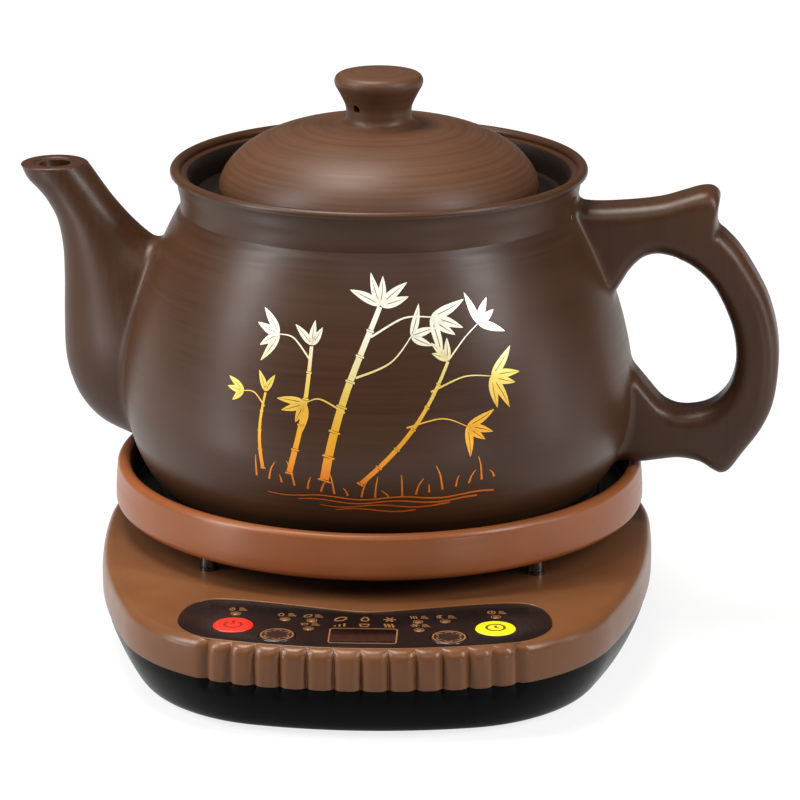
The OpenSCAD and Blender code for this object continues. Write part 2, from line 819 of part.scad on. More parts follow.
module collar() {
    lip = collar_wall / 2;
    color("#8a5a3e")
        difference() {
            rotate_extrude()
                polygon(concat(
                    [[flange_in, head_z]],
                    [for (a = [-90 : 15 : 0])
                        [collar_r, head_z] + collar_base_edge * [cos(a) - 1, sin(a) + 1]],
                    [for (a = [0 : 15 : 180])
                        [collar_r - collar_lean, collar_top] + lip * [cos(a) - 1, sin(a) - 1]],
                    [[collar_in, dish_z], [flange_in, dish_z]]
                ));
            for (place = post_places)
                translate([place[0], place[1], head_z - cut])
                    cylinder(r = bolt_r, h = flange_t + 2 * cut, $fn = small_fn);
        }
}

housing_wall = 1.2;
housing_flange = 1.4;
housing_flange_t = 1;
housing_h = 9;
housing_floor = 1;
housing_r = sensor_r + sensor_gap + housing_wall;
terminal_r = (housing_r + housing_flange + conduit_r - conduit_wall) / 2 + 0.1;
stud_r = 1.2;
stud_end = 3;
lead_r = 1.1;
lead_hole_r = terminal_r + lead_r + 0.45;
dish_wall_h = 9.2;
module heat_dish() {
    color("#4a4644")
        difference() {
            union() {
                translate([0, 0, dish_z]) cylinder(r = dish_r, h = dish_t);
                translate([0, 0, dish_z])
                    difference() {
                        cylinder(r = dish_r, h = dish_wall_h);
                        translate([0, 0, -cut]) cylinder(r = dish_r - dish_t, h = dish_wall_h + 2 * cut);
                    }
            }
            translate([0, 0, dish_z - cut]) cylinder(r = housing_r, h = dish_t + 2 * cut);
            for (side = [-1, 1])
                translate([side * terminal_r, 0, dish_z - cut])
                    cylinder(r = stud_r, h = dish_t + 2 * cut, $fn = small_fn);
            for (place = post_places)
                translate([place[0], place[1], dish_z - cut])
                    cylinder(r = bolt_r, h = dish_t + 2 * cut, $fn = small_fn);
        }
}

// Hot plate, with the printed heating sheet and its insulation held under it
plate_hole_r = sensor_r + sensor_gap;
plate_rim = 2;
plate_chamfer = 1.2;
sheet_t = 1.1;
sheet_z = pot_z - plate_t - sheet_t;
sheet_set = 6;
sheet_hole_gap = 1.5;
pad_set = 4;
pad_hole_gap = 2.5;
module hot_plate() {
    color("#8f8f92")
        rotate_extrude()
            polygon([
                [plate_hole_r, pot_z - plate_t], [plate_r - plate_rim, pot_z - plate_t],
                [plate_r - plate_rim, plate_base], [plate_r, plate_base], [plate_r, pot_z - plate_chamfer],
                [plate_r - plate_chamfer, pot_z], [plate_hole_r, pot_z]
            ]);
}

module insulation_pad() {
    color("#d8d2c4")
        translate([0, 0, plate_base])
            difference() {
                cylinder(r = plate_r - pad_set, h = sheet_z - plate_base);
                translate([0, 0, -cut]) cylinder(r = terminal_r + pad_hole_gap, h = plate_h);
            }
}

module heating_sheet() {
    color("#6b5a48")
        translate([0, 0, sheet_z])
            difference() {
                cylinder(r = plate_r - sheet_set, h = sheet_t);
                translate([0, 0, -cut]) cylinder(r = plate_hole_r + sheet_hole_gap, h = sheet_t + 2 * cut);
            }
}

stud_low = deck_z + stud_end;
module element_terminals() {
    color("#c9b26a")
        for (side = [-1, 1])
            translate([side * terminal_r, 0, stud_low])
                cylinder(r = stud_r, h = sheet_z - stud_low, $fn = small_fn);
}

// Safety cut-out, a disc thermostat that hangs under the dish
cutout_x = 45;
cutout_r = 8;
cutout_h = 6.5;
cutout_flange_r = 10.5;
cutout_flange_t = 0.8;
module thermal_cutout() {
    color("#d9d4c8")
        translate([cutout_x, 0, dish_z - cutout_h]) {
            cylinder(r = cutout_r, h = cutout_h, $fn = small_fn);
            translate([0, 0, cutout_h - cutout_flange_t])
                cylinder(r = cutout_flange_r, h = cutout_flange_t, $fn = small_fn);
        }
}

// Sprung temperature sensor in the middle of the plate
module sensor_housing() {
    color("#3a3a3a")
        translate([0, 0, dish_z - housing_h])
            difference() {
                union() {
                    cylinder(r = housing_r, h = housing_h + dish_t);
                    translate([0, 0, housing_h - housing_flange_t])
                        cylinder(r = housing_r + housing_flange, h = housing_flange_t);
                }
                translate([0, 0, housing_floor]) cylinder(r = sensor_r + sensor_gap, h = housing_h + dish_t);
            }
}

spring_low = dish_z - housing_h + housing_floor;
cap_top = pot_z + foot_hollow - sensor_play;
cap_t = 1.2;
cap_end_gap = 1;
spring_t = 1.2;
spring_gap = 1;
spring_r = sensor_r - cap_t - spring_gap;
module sensor_spring() {
    spring_l = cap_top - cap_t - spring_low;
    bore_r = spring_r - spring_t;
    color("#a8a8a8")
        translate([0, 0, spring_low])
            difference() {
                cylinder(r = spring_r, h = spring_l, $fn = small_fn);
                translate([0, 0, -cut]) cylinder(r = bore_r, h = spring_l + 2 * cut, $fn = small_fn);
            }
}

module sensor_cap() {
    low = spring_low + sensor_travel + cap_end_gap;
    color("#c4c4c6")
        translate([0, 0, low])
            difference() {
                cylinder(r = sensor_r, h = cap_top - low);
                translate([0, 0, -cut]) cylinder(r = sensor_r - cap_t, h = cap_top - cap_t - low + cut);
            }
}

/* Leads inside the base, from the terminal block up to the heating head */
terminal_mid = terminal_place[0] + terminal_size[0] / 2;
terminal_face = power_board_y + terminal_place[1];
lead_exit = 6;
lead_bend = [8, 11, 9];
lead_rise = [14, 20];
function lead_route(side) = [
    [terminal_mid + side * lead_exit, terminal_face, power_top + lead_exit],
    [terminal_mid + side * lead_exit, terminal_face - lead_exit, power_top + lead_exit],
    [terminal_mid / 2 + side * lead_bend[0], terminal_face - lead_bend[1], power_top + lead_bend[2]],
    [side * terminal_r, stud_r, power_top + lead_rise[0]],
    [side * terminal_r, 0, power_top + lead_rise[1]],
    [side * terminal_r, 0, stud_low]
];
function ring_at(centre, along, radius, sides) =
    let (
        across = unit(cross(along, abs(along[2]) > 0.9 ? [0, 1, 0] : [0, 0, 1])),
        up = cross(across, along)
    )
    [for (j = [0 : sides - 1]) centre + radius * (cos(360 * j / sides) * across + sin(360 * j / sides) * up)];

module lead(route) {
    path = spline(route, 3);
    skin([for (i = [0 : len(path) - 1])
        ring_at(path[i], i == 0 ? [0, -1, 0] : i == len(path) - 1 ? [0, 0, 1]
            : unit(path[i + 1] - path[i - 1]), lead_r, 8)]);
}

module heater_leads() {
    color("#d8d8d8")
        for (side = [-1, 1])
            lead(lead_route(side));
}

/* Power inlet */
module inlet_housing() {
    color("#101010")
        translate([0, inlet_face, inlet_z])
            difference() {
                union() {
                    translate([-inlet_w / 2, -inlet_depth, -inlet_h / 2])
                        cube([inlet_w, inlet_depth, inlet_h]);
                    translate([-inlet_w / 2 - inlet_flange, -inlet_depth, inlet_flange - inlet_h / 2])
                        cube([inlet_w + 2 * inlet_flange, inlet_flange, inlet_h - 2 * inlet_flange]);
                }
                translate([0, cut, 0])
                    rotate([90, 0, 0])
                        linear_extrude(socket_depth + cut)
                            polygon([
                                [-socket_w / 2, -socket_h / 2], [socket_w / 2, -socket_h / 2],
                                [socket_w / 2, socket_h / 2 - socket_corner],
                                [socket_w / 2 - socket_corner, socket_h / 2],
                                [socket_corner - socket_w / 2, socket_h / 2],
                                [-socket_w / 2, socket_h / 2 - socket_corner]
                            ]);
                for (pin = inlet_pin_places)
                    translate([pin[0] - pin_size[0] / 2, -inlet_depth - cut, pin[1] - pin_size[1] / 2])
                        cube([pin_size[0], inlet_depth, pin_size[1]]);
            }
}

inlet_pin_places = [[-7, -1], [7, -1], [0, 3]];
pin_size = [2, 4];
pin_tail = 5;
pin_sink = 3;
module inlet_pins() {
    color("#c8c8c8")
        for (pin = inlet_pin_places)
            translate([pin[0] - pin_size[0] / 2, inlet_face - inlet_depth - pin_tail,
                inlet_z + pin[1] - pin_size[1] / 2])
                cube([pin_size[0], inlet_depth + pin_tail - pin_sink, pin_size[1]]);
}

/* Pot: outer profile from the foot to the rim, as [radius, height above the foot] */
lower_power = 1.65;
upper_power = 1.78;
crease_h = pot_h - neck_drop - 7;
function lower_r(t, low, high, power) = mix(low, high, pow(1 - pow(1 - t, power), 1 / power));
function neck_at(h) = neck_r + pow(h - (pot_h - neck_drop), 2) / (2 * neck_curve);
function upper_r(h, wall) =
    mix(belly_r - wall, neck_at(crease_h) - wall, pow((h - belly_h) / (crease_h - belly_h), upper_power));
function upper_point(i, wall) = let (h = mix(belly_h, crease_h, i / upper_steps)) [upper_r(h, wall), h];
rim_centre_h = pot_h - rim_r;
rim_centre_r = neck_at(rim_centre_h) - 0.7;
foot_edge = [1.2, 0.8];
lower_outline = [
    for (i = [0 : 12]) let (t = pow(i / 12, 1.6))
        [lower_r(t, foot_r + foot_edge[0], belly_r, lower_power), mix(foot_edge[1], belly_h, t)]
];
upper_steps = 14;
upper_outline = [for (i = [1 : upper_steps]) upper_point(i, 0)];
neck_outline = [
    for (i = [1 : 8]) let (h = mix(crease_h, rim_centre_h - 1.4, i / 8)) [neck_at(h), h]
];
rim_outline = [for (a = [-20 : 20 : 200]) [rim_centre_r + rim_r * cos(a), rim_centre_h + rim_r * sin(a)]];
outer_outline = concat([[foot_r, 0]], lower_outline, upper_outline, neck_outline);

module pot_core() {
    translate([0, 0, pot_z])
        rotate_extrude()
            polygon(concat([[0, 0]], outer_outline, [[0, outer_outline[len(outer_outline) - 1][1]]]));
}

// Strainer holes behind the spout: three rows of three, the middle column set higher
strainer_h = 46;
strainer_row = 14;
strainer_side = 9;
strainer_offset = 5;
strainer_l = 24;

module turned(profile) {
    color("#4a352a") translate([0, 0, pot_z]) rotate_extrude() polygon(profile);
}

// The pot is luted together from a bowl, a shoulder and a neck, with seams at the belly and under the neck
neck_seam = 12;
belly_seam = [[belly_r, belly_h], [belly_r - pot_wall, belly_h]];
neck_foot = [upper_point(neck_seam, 0), upper_point(neck_seam, pot_wall)];

foot_ring_w = 7;
foot_ring_slope = 1;
floor_set = 4;
inner_power = 1.9;

module pot_bowl() {
    floor_h = foot_hollow + pot_floor;
    inner_lower = [
        for (i = [0 : 9]) let (t = pow(i / 10, 1.6))
            [lower_r(t, foot_r - floor_set, belly_r - pot_wall, inner_power), mix(floor_h, belly_h, t)]
    ];
    turned(concat(
        [
            [0, foot_hollow], [foot_r - foot_ring_w - foot_ring_slope, foot_hollow],
            [foot_r - foot_ring_w, 0], [foot_r, 0]
        ],
        lower_outline,
        [belly_seam[1]],
        [for (i = [len(inner_lower) - 1 : -1 : 0]) inner_lower[i]],
        [[0, floor_h]]
    ));
}

module pot_shoulder() {
    difference() {
        turned(concat(
            [belly_seam[0]],
            [for (i = [1 : neck_seam]) upper_point(i, 0)],
            [for (i = [neck_seam : -1 : 1]) upper_point(i, pot_wall)],
            [belly_seam[1]]
        ));
        rotate([0, 0, pot_turn])
            for (row = [0 : 2], side = [-1 : 1])
                translate([-belly_r - cut, side * strainer_side, pot_z + strainer_h + row * strainer_row
                    + (1 - abs(side)) * strainer_offset])
                    rotate([0, 90, 0])
                        cylinder(r = strainer_d / 2, h = strainer_l, $fn = small_fn);
    }
}

module pot_neck() {
    ledge_h = pot_h - ledge_drop;
    inner_top = ledge_h - ledge_t;
    neck_in = neck_r - pot_wall;
    turned(concat(
        [neck_foot[0]],
        [for (i = [neck_seam + 1 : upper_steps]) upper_point(i, 0)],
        neck_outline,
        rim_outline,
        [
            [neck_in + 1.6, pot_h - 4.5], [neck_in, pot_h - 8], [neck_in - 0.4, ledge_h],
            [mouth_r + 0.6, ledge_h], [mouth_r, ledge_h - 0.6], [mouth_r, inner_top],
            [neck_in - 2, inner_top], [neck_in, inner_top - 1.5]
        ],
        [for (i = [upper_steps : -1 : neck_seam + 1]) upper_point(i, pot_wall)],
        [neck_foot[1]]
    ));
}

/* Spout: stations as [outer u, outer h, inner u, inner h, half width], u away from the axis */
spout_drawn = [157.2, 137, 23.5];
spout_fixed = [110, 100];
spout_stations = [
    [157.2, 136.6, 128.2, 137, 14.4], [154.4, 130.4, 124.8, 132.4, 13.9], [149.5, 125.2, 121, 127, 13.4],
    [145.4, 119.8, 116.6, 121.1, 13.4], [141.5, 111.8, 109, 112.6, 14.2], [139.4, 100, 101, 105.6, 15.6],
    [139.1, 86, 95.5, 103, 17.4], [139.5, 70, 92, 103, 19.2], [139.4, 53, 88.5, 103, 20.8],
    [137, 41, 86, 103, 22], [131.5, 29.5, 83, 103, 23], [121.5, 20, 80, 103, 23.5], [104, 12.5, 76, 103, 23.5]
];
spout_sides = 24;
spout_tip = [belly_r + spout_reach, pot_h - spout_drop];
function spout_axis(value, k) =
    let (share = max(0, value - spout_fixed[k]) / (spout_drawn[k] - spout_fixed[k]))
    value + (spout_tip[k] - spout_drawn[k]) * share;
function spout_ring(s, inset) =
    let (
        near = [spout_axis(s[2], 0), spout_axis(s[3], 1)],
        far = [spout_axis(s[0], 0), spout_axis(s[1], 1)],
        centre = (near + far) / 2,
        half = norm(far - near) / 2 - inset,
        along = unit(far - near),
        width = s[4] * spout_root_w / spout_drawn[2] - inset
    )
    [for (j = [0 : spout_sides - 1])
        let (a = 360 * j / spout_sides, q = centre + half * cos(a) * along)
        [-q[0], width * sin(a), q[1]]];
spout_path = spline(spout_stations, 2);
function lip_inset(i) = spout_wall + spout_lip * max(0, 1 - i / 4);

module pot_spout() {
    last = len(spout_path) - 1;
    lip_ring = [for (p = spout_ring(spout_path[0], 1.6)) p + [0, 0, 0.9]];
    color("#4a352a")
        difference() {
            rotate([0, 0, pot_turn])
                translate([0, 0, pot_z])
                    difference() {
                        skin(concat([for (i = [last : -1 : 0]) spout_ring(spout_path[i], 0)], [lip_ring]));
                        skin(concat(
                            [[for (p = spout_ring(spout_path[last], spout_wall)) p + [3, 0, -2]]],
                            [for (i = [last : -1 : 0]) spout_ring(spout_path[i], lip_inset(i))],
                            [[for (p = spout_ring(spout_path[0], lip_inset(0))) p + [0, 0, 4]]]
                        ));
                    }
            pot_core();
        }
}

/* Handle: stations as [outer u, outer h, inner u, inner h]; u runs out from the pot's axis */
handle_drawn = [111.3, 62.5, 12.4, 126.3];
handle_arc_step = 30;
handle_stations = [
    [78, 127, 92, 80], [90, 125.7, 101, 86], [97, 125.7, 105.5, 92.4], [105, 126.3, 109.2, 98.5],
    [114, 127.3, 114.5, 103.8], [123, 128.9, 120.5, 105.7], [131.7, 131.7, 127, 104.8],
    [138.5, 133.8, 131.5, 103], [143.6, 133.8, 134, 101.8], [146.6, 130.5, 136, 100.6],
    [145.9, 124, 138.5, 98.8], [146.2, 118, 141, 96.7], [150, 114.4, 143.4, 94.2], [156, 108, 146.5, 90],
    [163.5, 96.5, 150.5, 82.2], [169.2, 84.9, 153.8, 73.5], [172.9, 70.5, 155.4, 64], [173.7, 56, 155, 55],
    [171.8, 40.5, 152.8, 47.6], [167, 28.8, 149.6, 42.7], [159.5, 18, 145.8, 39.4],
    [154.2, 10.5, 142.4, 37.6], [150.6, 8.6, 139.8, 36.8], [147, 9.9, 137, 36.3], [141, 13.3, 134, 36],
    [132, 14.7, 129, 36.6],
    [123, 13.5, 123.4, 39.6], [116, 12.4, 117, 46.8], [108, 12.4, 111.5, 53.2], [97, 13, 103, 61]
];
function handle_u(u) =
    belly_r + (u - handle_drawn[0]) * (u < handle_drawn[0] ? 1 : handle_reach / handle_drawn[1]);
function handle_v(h) =
    mix(handle_low, pot_h - handle_drop, (h - handle_drawn[2]) / (handle_drawn[3] - handle_drawn[2]));
handle_arc = [for (a = [0 : handle_arc_step : 90]) [cos(a), sin(a)]];
function handle_ring(s) =
    let (
        far = [handle_u(s[0]), handle_v(s[1])],
        near = [handle_u(s[2]), handle_v(s[3])],
        centre = (near + far) / 2,
        along = unit(far - near),
        half = norm(far - near) / 2,
        side = handle_t / 2,
        edge = min(handle_edge, 0.8 * half, 0.8 * side),
        quarter = [for (p = handle_arc) [half - edge + edge * p[0], side - edge + edge * p[1]]],
        loop = concat(
            quarter,
            [for (i = [3 : -1 : 0]) [-quarter[i][0], quarter[i][1]]],
            [for (i = [0 : 3]) [-quarter[i][0], -quarter[i][1]]],
            [for (i = [3 : -1 : 0]) [quarter[i][0], -quarter[i][1]]]
        )
    )
    [for (p = loop) let (q = centre + p[0] * along) [q[0], p[1], q[1]]];

module pot_handle() {
    path = spline(handle_stations, 2);
    color("#4a352a")
        difference() {
            rotate([0, 0, pot_turn])
                translate([0, 0, pot_z])
                    skin([for (i = [len(path) - 1 : -1 : 0]) handle_ring(path[i])]);
            pot_core();
        }
}

/* Lid and its knob, as [radius, height above the ledge]; a well under the knob feeds the vent */
vent_well_r = vent_r + 1;
vent_l = 12;
vent_h = 0.37 * knob_h;
module lid() {
    skirt_r = mouth_r - lid_gap;
    dome = [
        for (i = [0 : 14]) let (a = 90 * i / 14)
            [mix(knob_neck_r + 5, lid_r, pow(cos(a), 0.95)), 2 + (lid_rise - 2.4) * pow(sin(a), 1.12)]
    ];
    inner_dome = [
        for (i = [0 : 10]) let (a = 90 * i / 10)
            [mix(0, skirt_r - 3.4, cos(a)), 4 + (lid_rise - lid_t - 5) * sin(a)]
    ];
    knob_foot = lid_rise;
    knob_top = lid_rise + knob_h;
    knob = concat(
        [for (a = [0 : 22.5 : 67.5]) [knob_neck_r + 4 * (1 - sin(a)), knob_foot + 0.4 + 3.4 * (1 - cos(a))]],
        spline([
            [knob_neck_r, knob_foot + 0.2 * knob_h], [knob_neck_r + 0.4, knob_foot + 0.36 * knob_h],
            [mix(knob_neck_r, knob_r, 0.5), knob_foot + 0.57 * knob_h],
            [knob_r - 0.5, knob_foot + 0.73 * knob_h], [knob_r, knob_foot + 0.81 * knob_h],
            [knob_r - 0.7, knob_foot + 0.89 * knob_h],
            [knob_r - 3, knob_foot + 0.945 * knob_h], [0.45 * knob_r, knob_top - 0.2]
        ], 2),
        [[0, knob_top]]
    );
    color("#4f392c")
        difference() {
            translate([0, 0, ledge_z])
                rotate_extrude()
                    polygon(concat(
                        [[skirt_r, 0], [lid_r - 1.4, 0], [lid_r - 0.4, 0.6]],
                        dome,
                        knob,
                        [for (i = [10 : -1 : 0]) inner_dome[i]],
                        [[skirt_r - 3.4, -lid_skirt], [skirt_r - 0.6, -lid_skirt], [skirt_r, 0.8 - lid_skirt]]
                    ));
            translate([0, 0, ledge_z + lid_rise - vent_l])
                cylinder(r = vent_well_r, h = vent_l + vent_h + vent_r, $fn = small_fn);
            translate([0, 0, ledge_z + lid_rise + vent_h])
                rotate([0, 90, vent_turn])
                    cylinder(r = vent_r, h = knob_r + cut, $fn = small_fn);
        }
}

bottom_shell();
top_cover();
rubber_feet();
case_screws();
control_panel();
display_window();
indicator_lenses();
power_key();
timer_key();
minus_key();
plus_key();
control_board();
tact_switches();
indicator_leds();
display_module();
power_board();
board_screws();
transformer();
relay();
filter_capacitor();
smoothing_capacitor();
buzzer();
terminal_block();
support_posts();
post_bolts();
post_nuts();
lead_conduit();
collar();
heat_dish();
hot_plate();
insulation_pad();
heating_sheet();
element_terminals();
thermal_cutout();
sensor_housing();
sensor_spring();
sensor_cap();
heater_leads();
inlet_housing();
inlet_pins();
pot_bowl();
pot_shoulder();
pot_neck();
pot_spout();
pot_handle();
lid();
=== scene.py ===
"""Looks of an electric decoction pot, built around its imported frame.

Every size is in millimetres in the frame's own axes: +X to the right, -Y to the front with
the control panel, +Z up, with the origin on the pot's axis at the floor.
"""

import logging
import math
from collections.abc import Callable, Iterable, Sequence
from dataclasses import dataclass, field
from enum import Enum

import bmesh
import bpy
import numpy as np
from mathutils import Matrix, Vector


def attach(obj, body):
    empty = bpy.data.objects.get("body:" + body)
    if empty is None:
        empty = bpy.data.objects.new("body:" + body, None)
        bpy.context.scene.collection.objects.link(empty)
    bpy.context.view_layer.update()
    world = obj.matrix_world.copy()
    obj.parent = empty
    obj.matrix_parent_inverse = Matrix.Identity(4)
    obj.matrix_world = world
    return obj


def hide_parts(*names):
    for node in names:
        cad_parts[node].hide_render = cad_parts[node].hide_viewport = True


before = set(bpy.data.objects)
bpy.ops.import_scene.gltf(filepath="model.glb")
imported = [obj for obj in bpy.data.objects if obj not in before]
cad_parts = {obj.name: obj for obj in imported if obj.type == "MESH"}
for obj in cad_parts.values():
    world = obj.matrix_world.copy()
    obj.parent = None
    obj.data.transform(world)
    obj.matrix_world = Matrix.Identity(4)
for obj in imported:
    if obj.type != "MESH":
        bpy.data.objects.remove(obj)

LOG = logging.getLogger("decoction_pot")
MM = 0.001
SHARP_ANGLE = math.radians(38)
NOISE_SPAN = (0.3, 0.7)
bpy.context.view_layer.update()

Array = np.ndarray
Colour = tuple[float, float, float]
Spot = tuple[float, float]
Points = Sequence[Sequence[float]]
Faces = Sequence[Sequence[int]]
Solid = tuple[Array, list]
Socket = bpy.types.NodeSocket
Thing = bpy.types.Object


# ---- small maths


def mix(low: float, high: float, share: float) -> float:
    """Return the value that lies a share of the way from low to high."""
    return low + (high - low) * share


def smooth_step(low: float, high: float, value: float) -> float:
    """Return 0 before low, 1 after high and a smooth rise between."""
    share = min(1.0, max(0.0, (value - low) / (high - low)))
    return share * share * (3 - 2 * share)


def unit(vector: Array) -> Array:
    """Return a vector of the same direction and length 1."""
    return vector / (np.linalg.norm(vector) + 1e-12)


def bezier(points: Points, steps: int) -> list[Array]:
    """Sample a cubic curve without its last point.

    Args:
        points: The four control points.
        steps: The number of samples.

    Returns:
        The sampled points, from the first control point on.
    """
    p0, p1, p2, p3 = (np.array(p, float) for p in points)
    shares = [i / steps for i in range(steps)]
    return [
        (1 - t) ** 3 * p0 + 3 * t * (1 - t) ** 2 * p1 + 3 * t * t * (1 - t) * p2 + t**3 * p3
        for t in shares
    ]


def spline(points: Points, steps: int) -> list[Array]:
    """Sample a curve that passes through every given point.

    Args:
        points: The points to pass through.
        steps: The number of samples between two of them.

    Returns:
        The sampled points, both ends among them.
    """
    given = [np.array(p, float) for p in points]
    sampled = []
    for i in range(len(given) - 1):
        before, start = given[max(i - 1, 0)], given[i]
        end, after = given[i + 1], given[min(i + 2, len(given) - 1)]
        for step in range(steps):
            t = step / steps
            bend = 2 * before - 5 * start + 4 * end - after
            twist = 3 * start - before - 3 * end + after
            sampled.append(0.5 * (2 * start + (end - before) * t + bend * t * t + twist * t**3))
    return sampled + [given[-1]]


def arc(centre: Sequence[float], radius: float, start: float, end: float, steps: int) -> list[Array]:
    """Draw an arc in a plane.

    Args:
        centre: Its centre.
        radius: Its radius.
        start: The angle it starts at, in degrees.
        end: The angle it ends at.
        steps: The number of steps.

    Returns:
        The points, both ends among them.
    """
    return [
        np.array(centre, float)
        + radius * np.array([math.cos(math.radians(a)), math.sin(math.radians(a))])
        for a in np.linspace(start, end, steps + 1)
    ]


def both_sides(half: Sequence[Array]) -> Array:
    """Close half a loop, from the middle line to the middle line, with its mirror image."""
    mirrored = [np.array([-p[0], p[1]]) for p in half[-2:0:-1]]
    return np.array(list(half) + mirrored)


def inset(loop: Array, distance: Array | float) -> Array:
    """Move a clockwise loop inwards.

    Args:
        loop: The loop's points in a plane.
        distance: One distance, or one for each point.

    Returns:
        The moved points.
    """
    along = np.roll(loop, -1, 0) - np.roll(loop, 1, 0)
    along /= np.linalg.norm(along, axis=1)[:, None]
    inward = np.stack([along[:, 1], -along[:, 0]], 1)
    return loop + inward * np.broadcast_to(distance, len(loop))[:, None]


def at_height(points: Array, height: float) -> Array:
    """Lay flat points at a height."""
    return np.column_stack([points, np.full(len(points), height)])


def turned(points: Array, degrees: float) -> Array:
    """Turn points about the vertical axis."""
    c, s = math.cos(math.radians(degrees)), math.sin(math.radians(degrees))
    return np.asarray(points, float) @ np.array([[c, s, 0], [-s, c, 0], [0, 0, 1]])


# ---- finishes


class Shader:
    """A material's node tree while it is being built."""

    def __init__(self, name: str) -> None:
        """Start a material that holds one Principled shader.

        Args:
            name: The material's name.
        """
        self.material = bpy.data.materials.new(name)
        self.material.use_nodes = True
        self.tree = self.material.node_tree
        self.surface = self.tree.nodes["Principled BSDF"]

    def set(self, **values: object) -> None:
        """Set sockets of the Principled shader.

        Args:
            values: A value for each socket; an underscore in a name stands for a space.
        """
        for name, value in values.items():
            socket = self.surface.inputs[name.replace("_", " ")]
            socket.default_value = (*value, 1.0) if isinstance(value, tuple) else value

    def add(self, kind: str, **settings: object) -> bpy.types.Node:
        """Add a node and set its properties.

        Args:
            kind: The node's type in Blender.
            settings: A value for each property.

        Returns:
            The node.
        """
        node = self.tree.nodes.new(kind)
        for name, value in settings.items():
            setattr(node, name, value)
        return node

    def link(self, source: Socket, target: Socket) -> None:
        """Join two sockets."""
        self.tree.links.new(source, target)

    def to_surface(self, source: Socket, name: str) -> None:
        """Drive one socket of the Principled shader."""
        self.link(source, self.surface.inputs[name])

    def place(self) -> Socket:
        """Return each point's place in the frame, in metres."""
        return self.add("ShaderNodeTexCoord").outputs["Object"]

    def wired(self, kind: str, sockets: dict, **settings: object) -> bpy.types.Node:
        """Add a node and feed its sockets.

        Args:
            kind: The node's type in Blender.
            sockets: What feeds each socket, from a node or plain.
            settings: A value for each property.

        Returns:
            The node.
        """
        node = self.add(kind, **settings)
        for name, value in sockets.items():
            if isinstance(value, Socket):
                self.link(value, node.inputs[name])
            else:
                node.inputs[name].default_value = value
        return node

    def scaled(self, vector: Socket, scale: Sequence[float]) -> Socket:
        """Multiply a place by a scale for each axis."""
        return self.wired("ShaderNodeVectorMath", {0: vector, 1: scale}, operation="MULTIPLY").outputs[0]

    def length(self, vector: Socket) -> Socket:
        """Return the length of a vector."""
        return self.wired("ShaderNodeVectorMath", {0: vector}, operation="LENGTH").outputs["Value"]

    def radius(self) -> Socket:
        """Return each point's distance from the pot's axis, in metres."""
        return self.length(self.scaled(self.place(), (1.0, 1.0, 0.0)))

    def level(self) -> Socket:
        """Return each point's height over the floor, in metres."""
        return self.wired("ShaderNodeSeparateXYZ", {0: self.place()}).outputs["Z"]

    def rings(self, per_metre: float) -> Socket:
        """Return a place that changes only along a turned piece's profile.

        Args:
            per_metre: How fast it changes, in units for each metre.

        Returns:
            A vector of radius, height and a slow drift round the piece.
        """
        drift = self.noise(self.place(), 9.0, 1.0)
        parts = {
            "X": self.times(self.radius(), per_metre),
            "Y": self.times(self.level(), per_metre),
            "Z": self.times(drift, 2.2),
        }
        return self.wired("ShaderNodeCombineXYZ", parts).outputs[0]

    def sum_of(self, operation: str, first: Socket, second: Socket | float) -> Socket:
        """Join two numbers by one of Blender's sums."""
        return self.wired("ShaderNodeMath", {0: first, 1: second}, operation=operation).outputs[0]

    def times(self, first: Socket, second: Socket | float) -> Socket:
        """Multiply two numbers."""
        return self.sum_of("MULTIPLY", first, second)

    def plus(self, first: Socket, second: Socket | float) -> Socket:
        """Add two numbers."""
        return self.sum_of("ADD", first, second)

    def noise(self, vector: Socket, scale: float, detail: float = 2.0) -> Socket:
        """Return smooth noise between 0 and 1, with its waves for each unit and its finer layers."""
        sockets = {"Vector": vector, "Scale": scale, "Detail": detail}
        return self.wired("ShaderNodeTexNoise", sockets).outputs["Fac"]

    def ranged(self, value: Socket, source: Sequence[float], target: Sequence[float]) -> Socket:
        """Carry a number from one range to another, held at its ends."""
        ends = zip(("From Min", "From Max", "To Min", "To Max"), (*source, *target))
        return self.wired("ShaderNodeMapRange", {"Value": value, **dict(ends)}).outputs[0]

    def ramp(self, value: Socket, stops: Sequence[tuple[float, Colour]]) -> Socket:
        """Colour a number.

        Args:
            value: The number.
            stops: Places between 0 and 1, each with its colour.

        Returns:
            The number's colour on the scale.
        """
        node = self.add("ShaderNodeValToRGB")
        self.link(value, node.inputs["Fac"])
        elements = node.color_ramp.elements
        while len(elements) < len(stops):
            elements.new(0.5)
        for element, (place, colour) in zip(elements, stops):
            element.position = place
            element.color = (*colour, 1.0)
        return node.outputs["Color"]

    def blended(self, share: Socket, first: Socket | Colour, second: Socket | Colour) -> Socket:
        """Blend two colours.

        Args:
            share: How much of the second colour there is.
            first: The first colour, from a node or plain.
            second: The second colour, from a node or plain.

        Returns:
            The blend.
        """
        ends = [(*colour, 1.0) if isinstance(colour, tuple) else colour for colour in (first, second)]
        return self.wired("ShaderNodeMix", {0: share, 6: ends[0], 7: ends[1]}, data_type="RGBA").outputs[2]

    def tint(self, pattern: Socket, dark: Colour, light: Colour, span: Spot = NOISE_SPAN) -> None:
        """Let the colour follow a noise pattern between two colours."""
        self.to_surface(self.ramp(pattern, [(span[0], dark), (span[1], light)]), "Base Color")

    def gloss(self, pattern: Socket, roughness: Spot) -> None:
        """Let the roughness follow a noise pattern between two values."""
        self.to_surface(self.ranged(pattern, NOISE_SPAN, roughness), "Roughness")

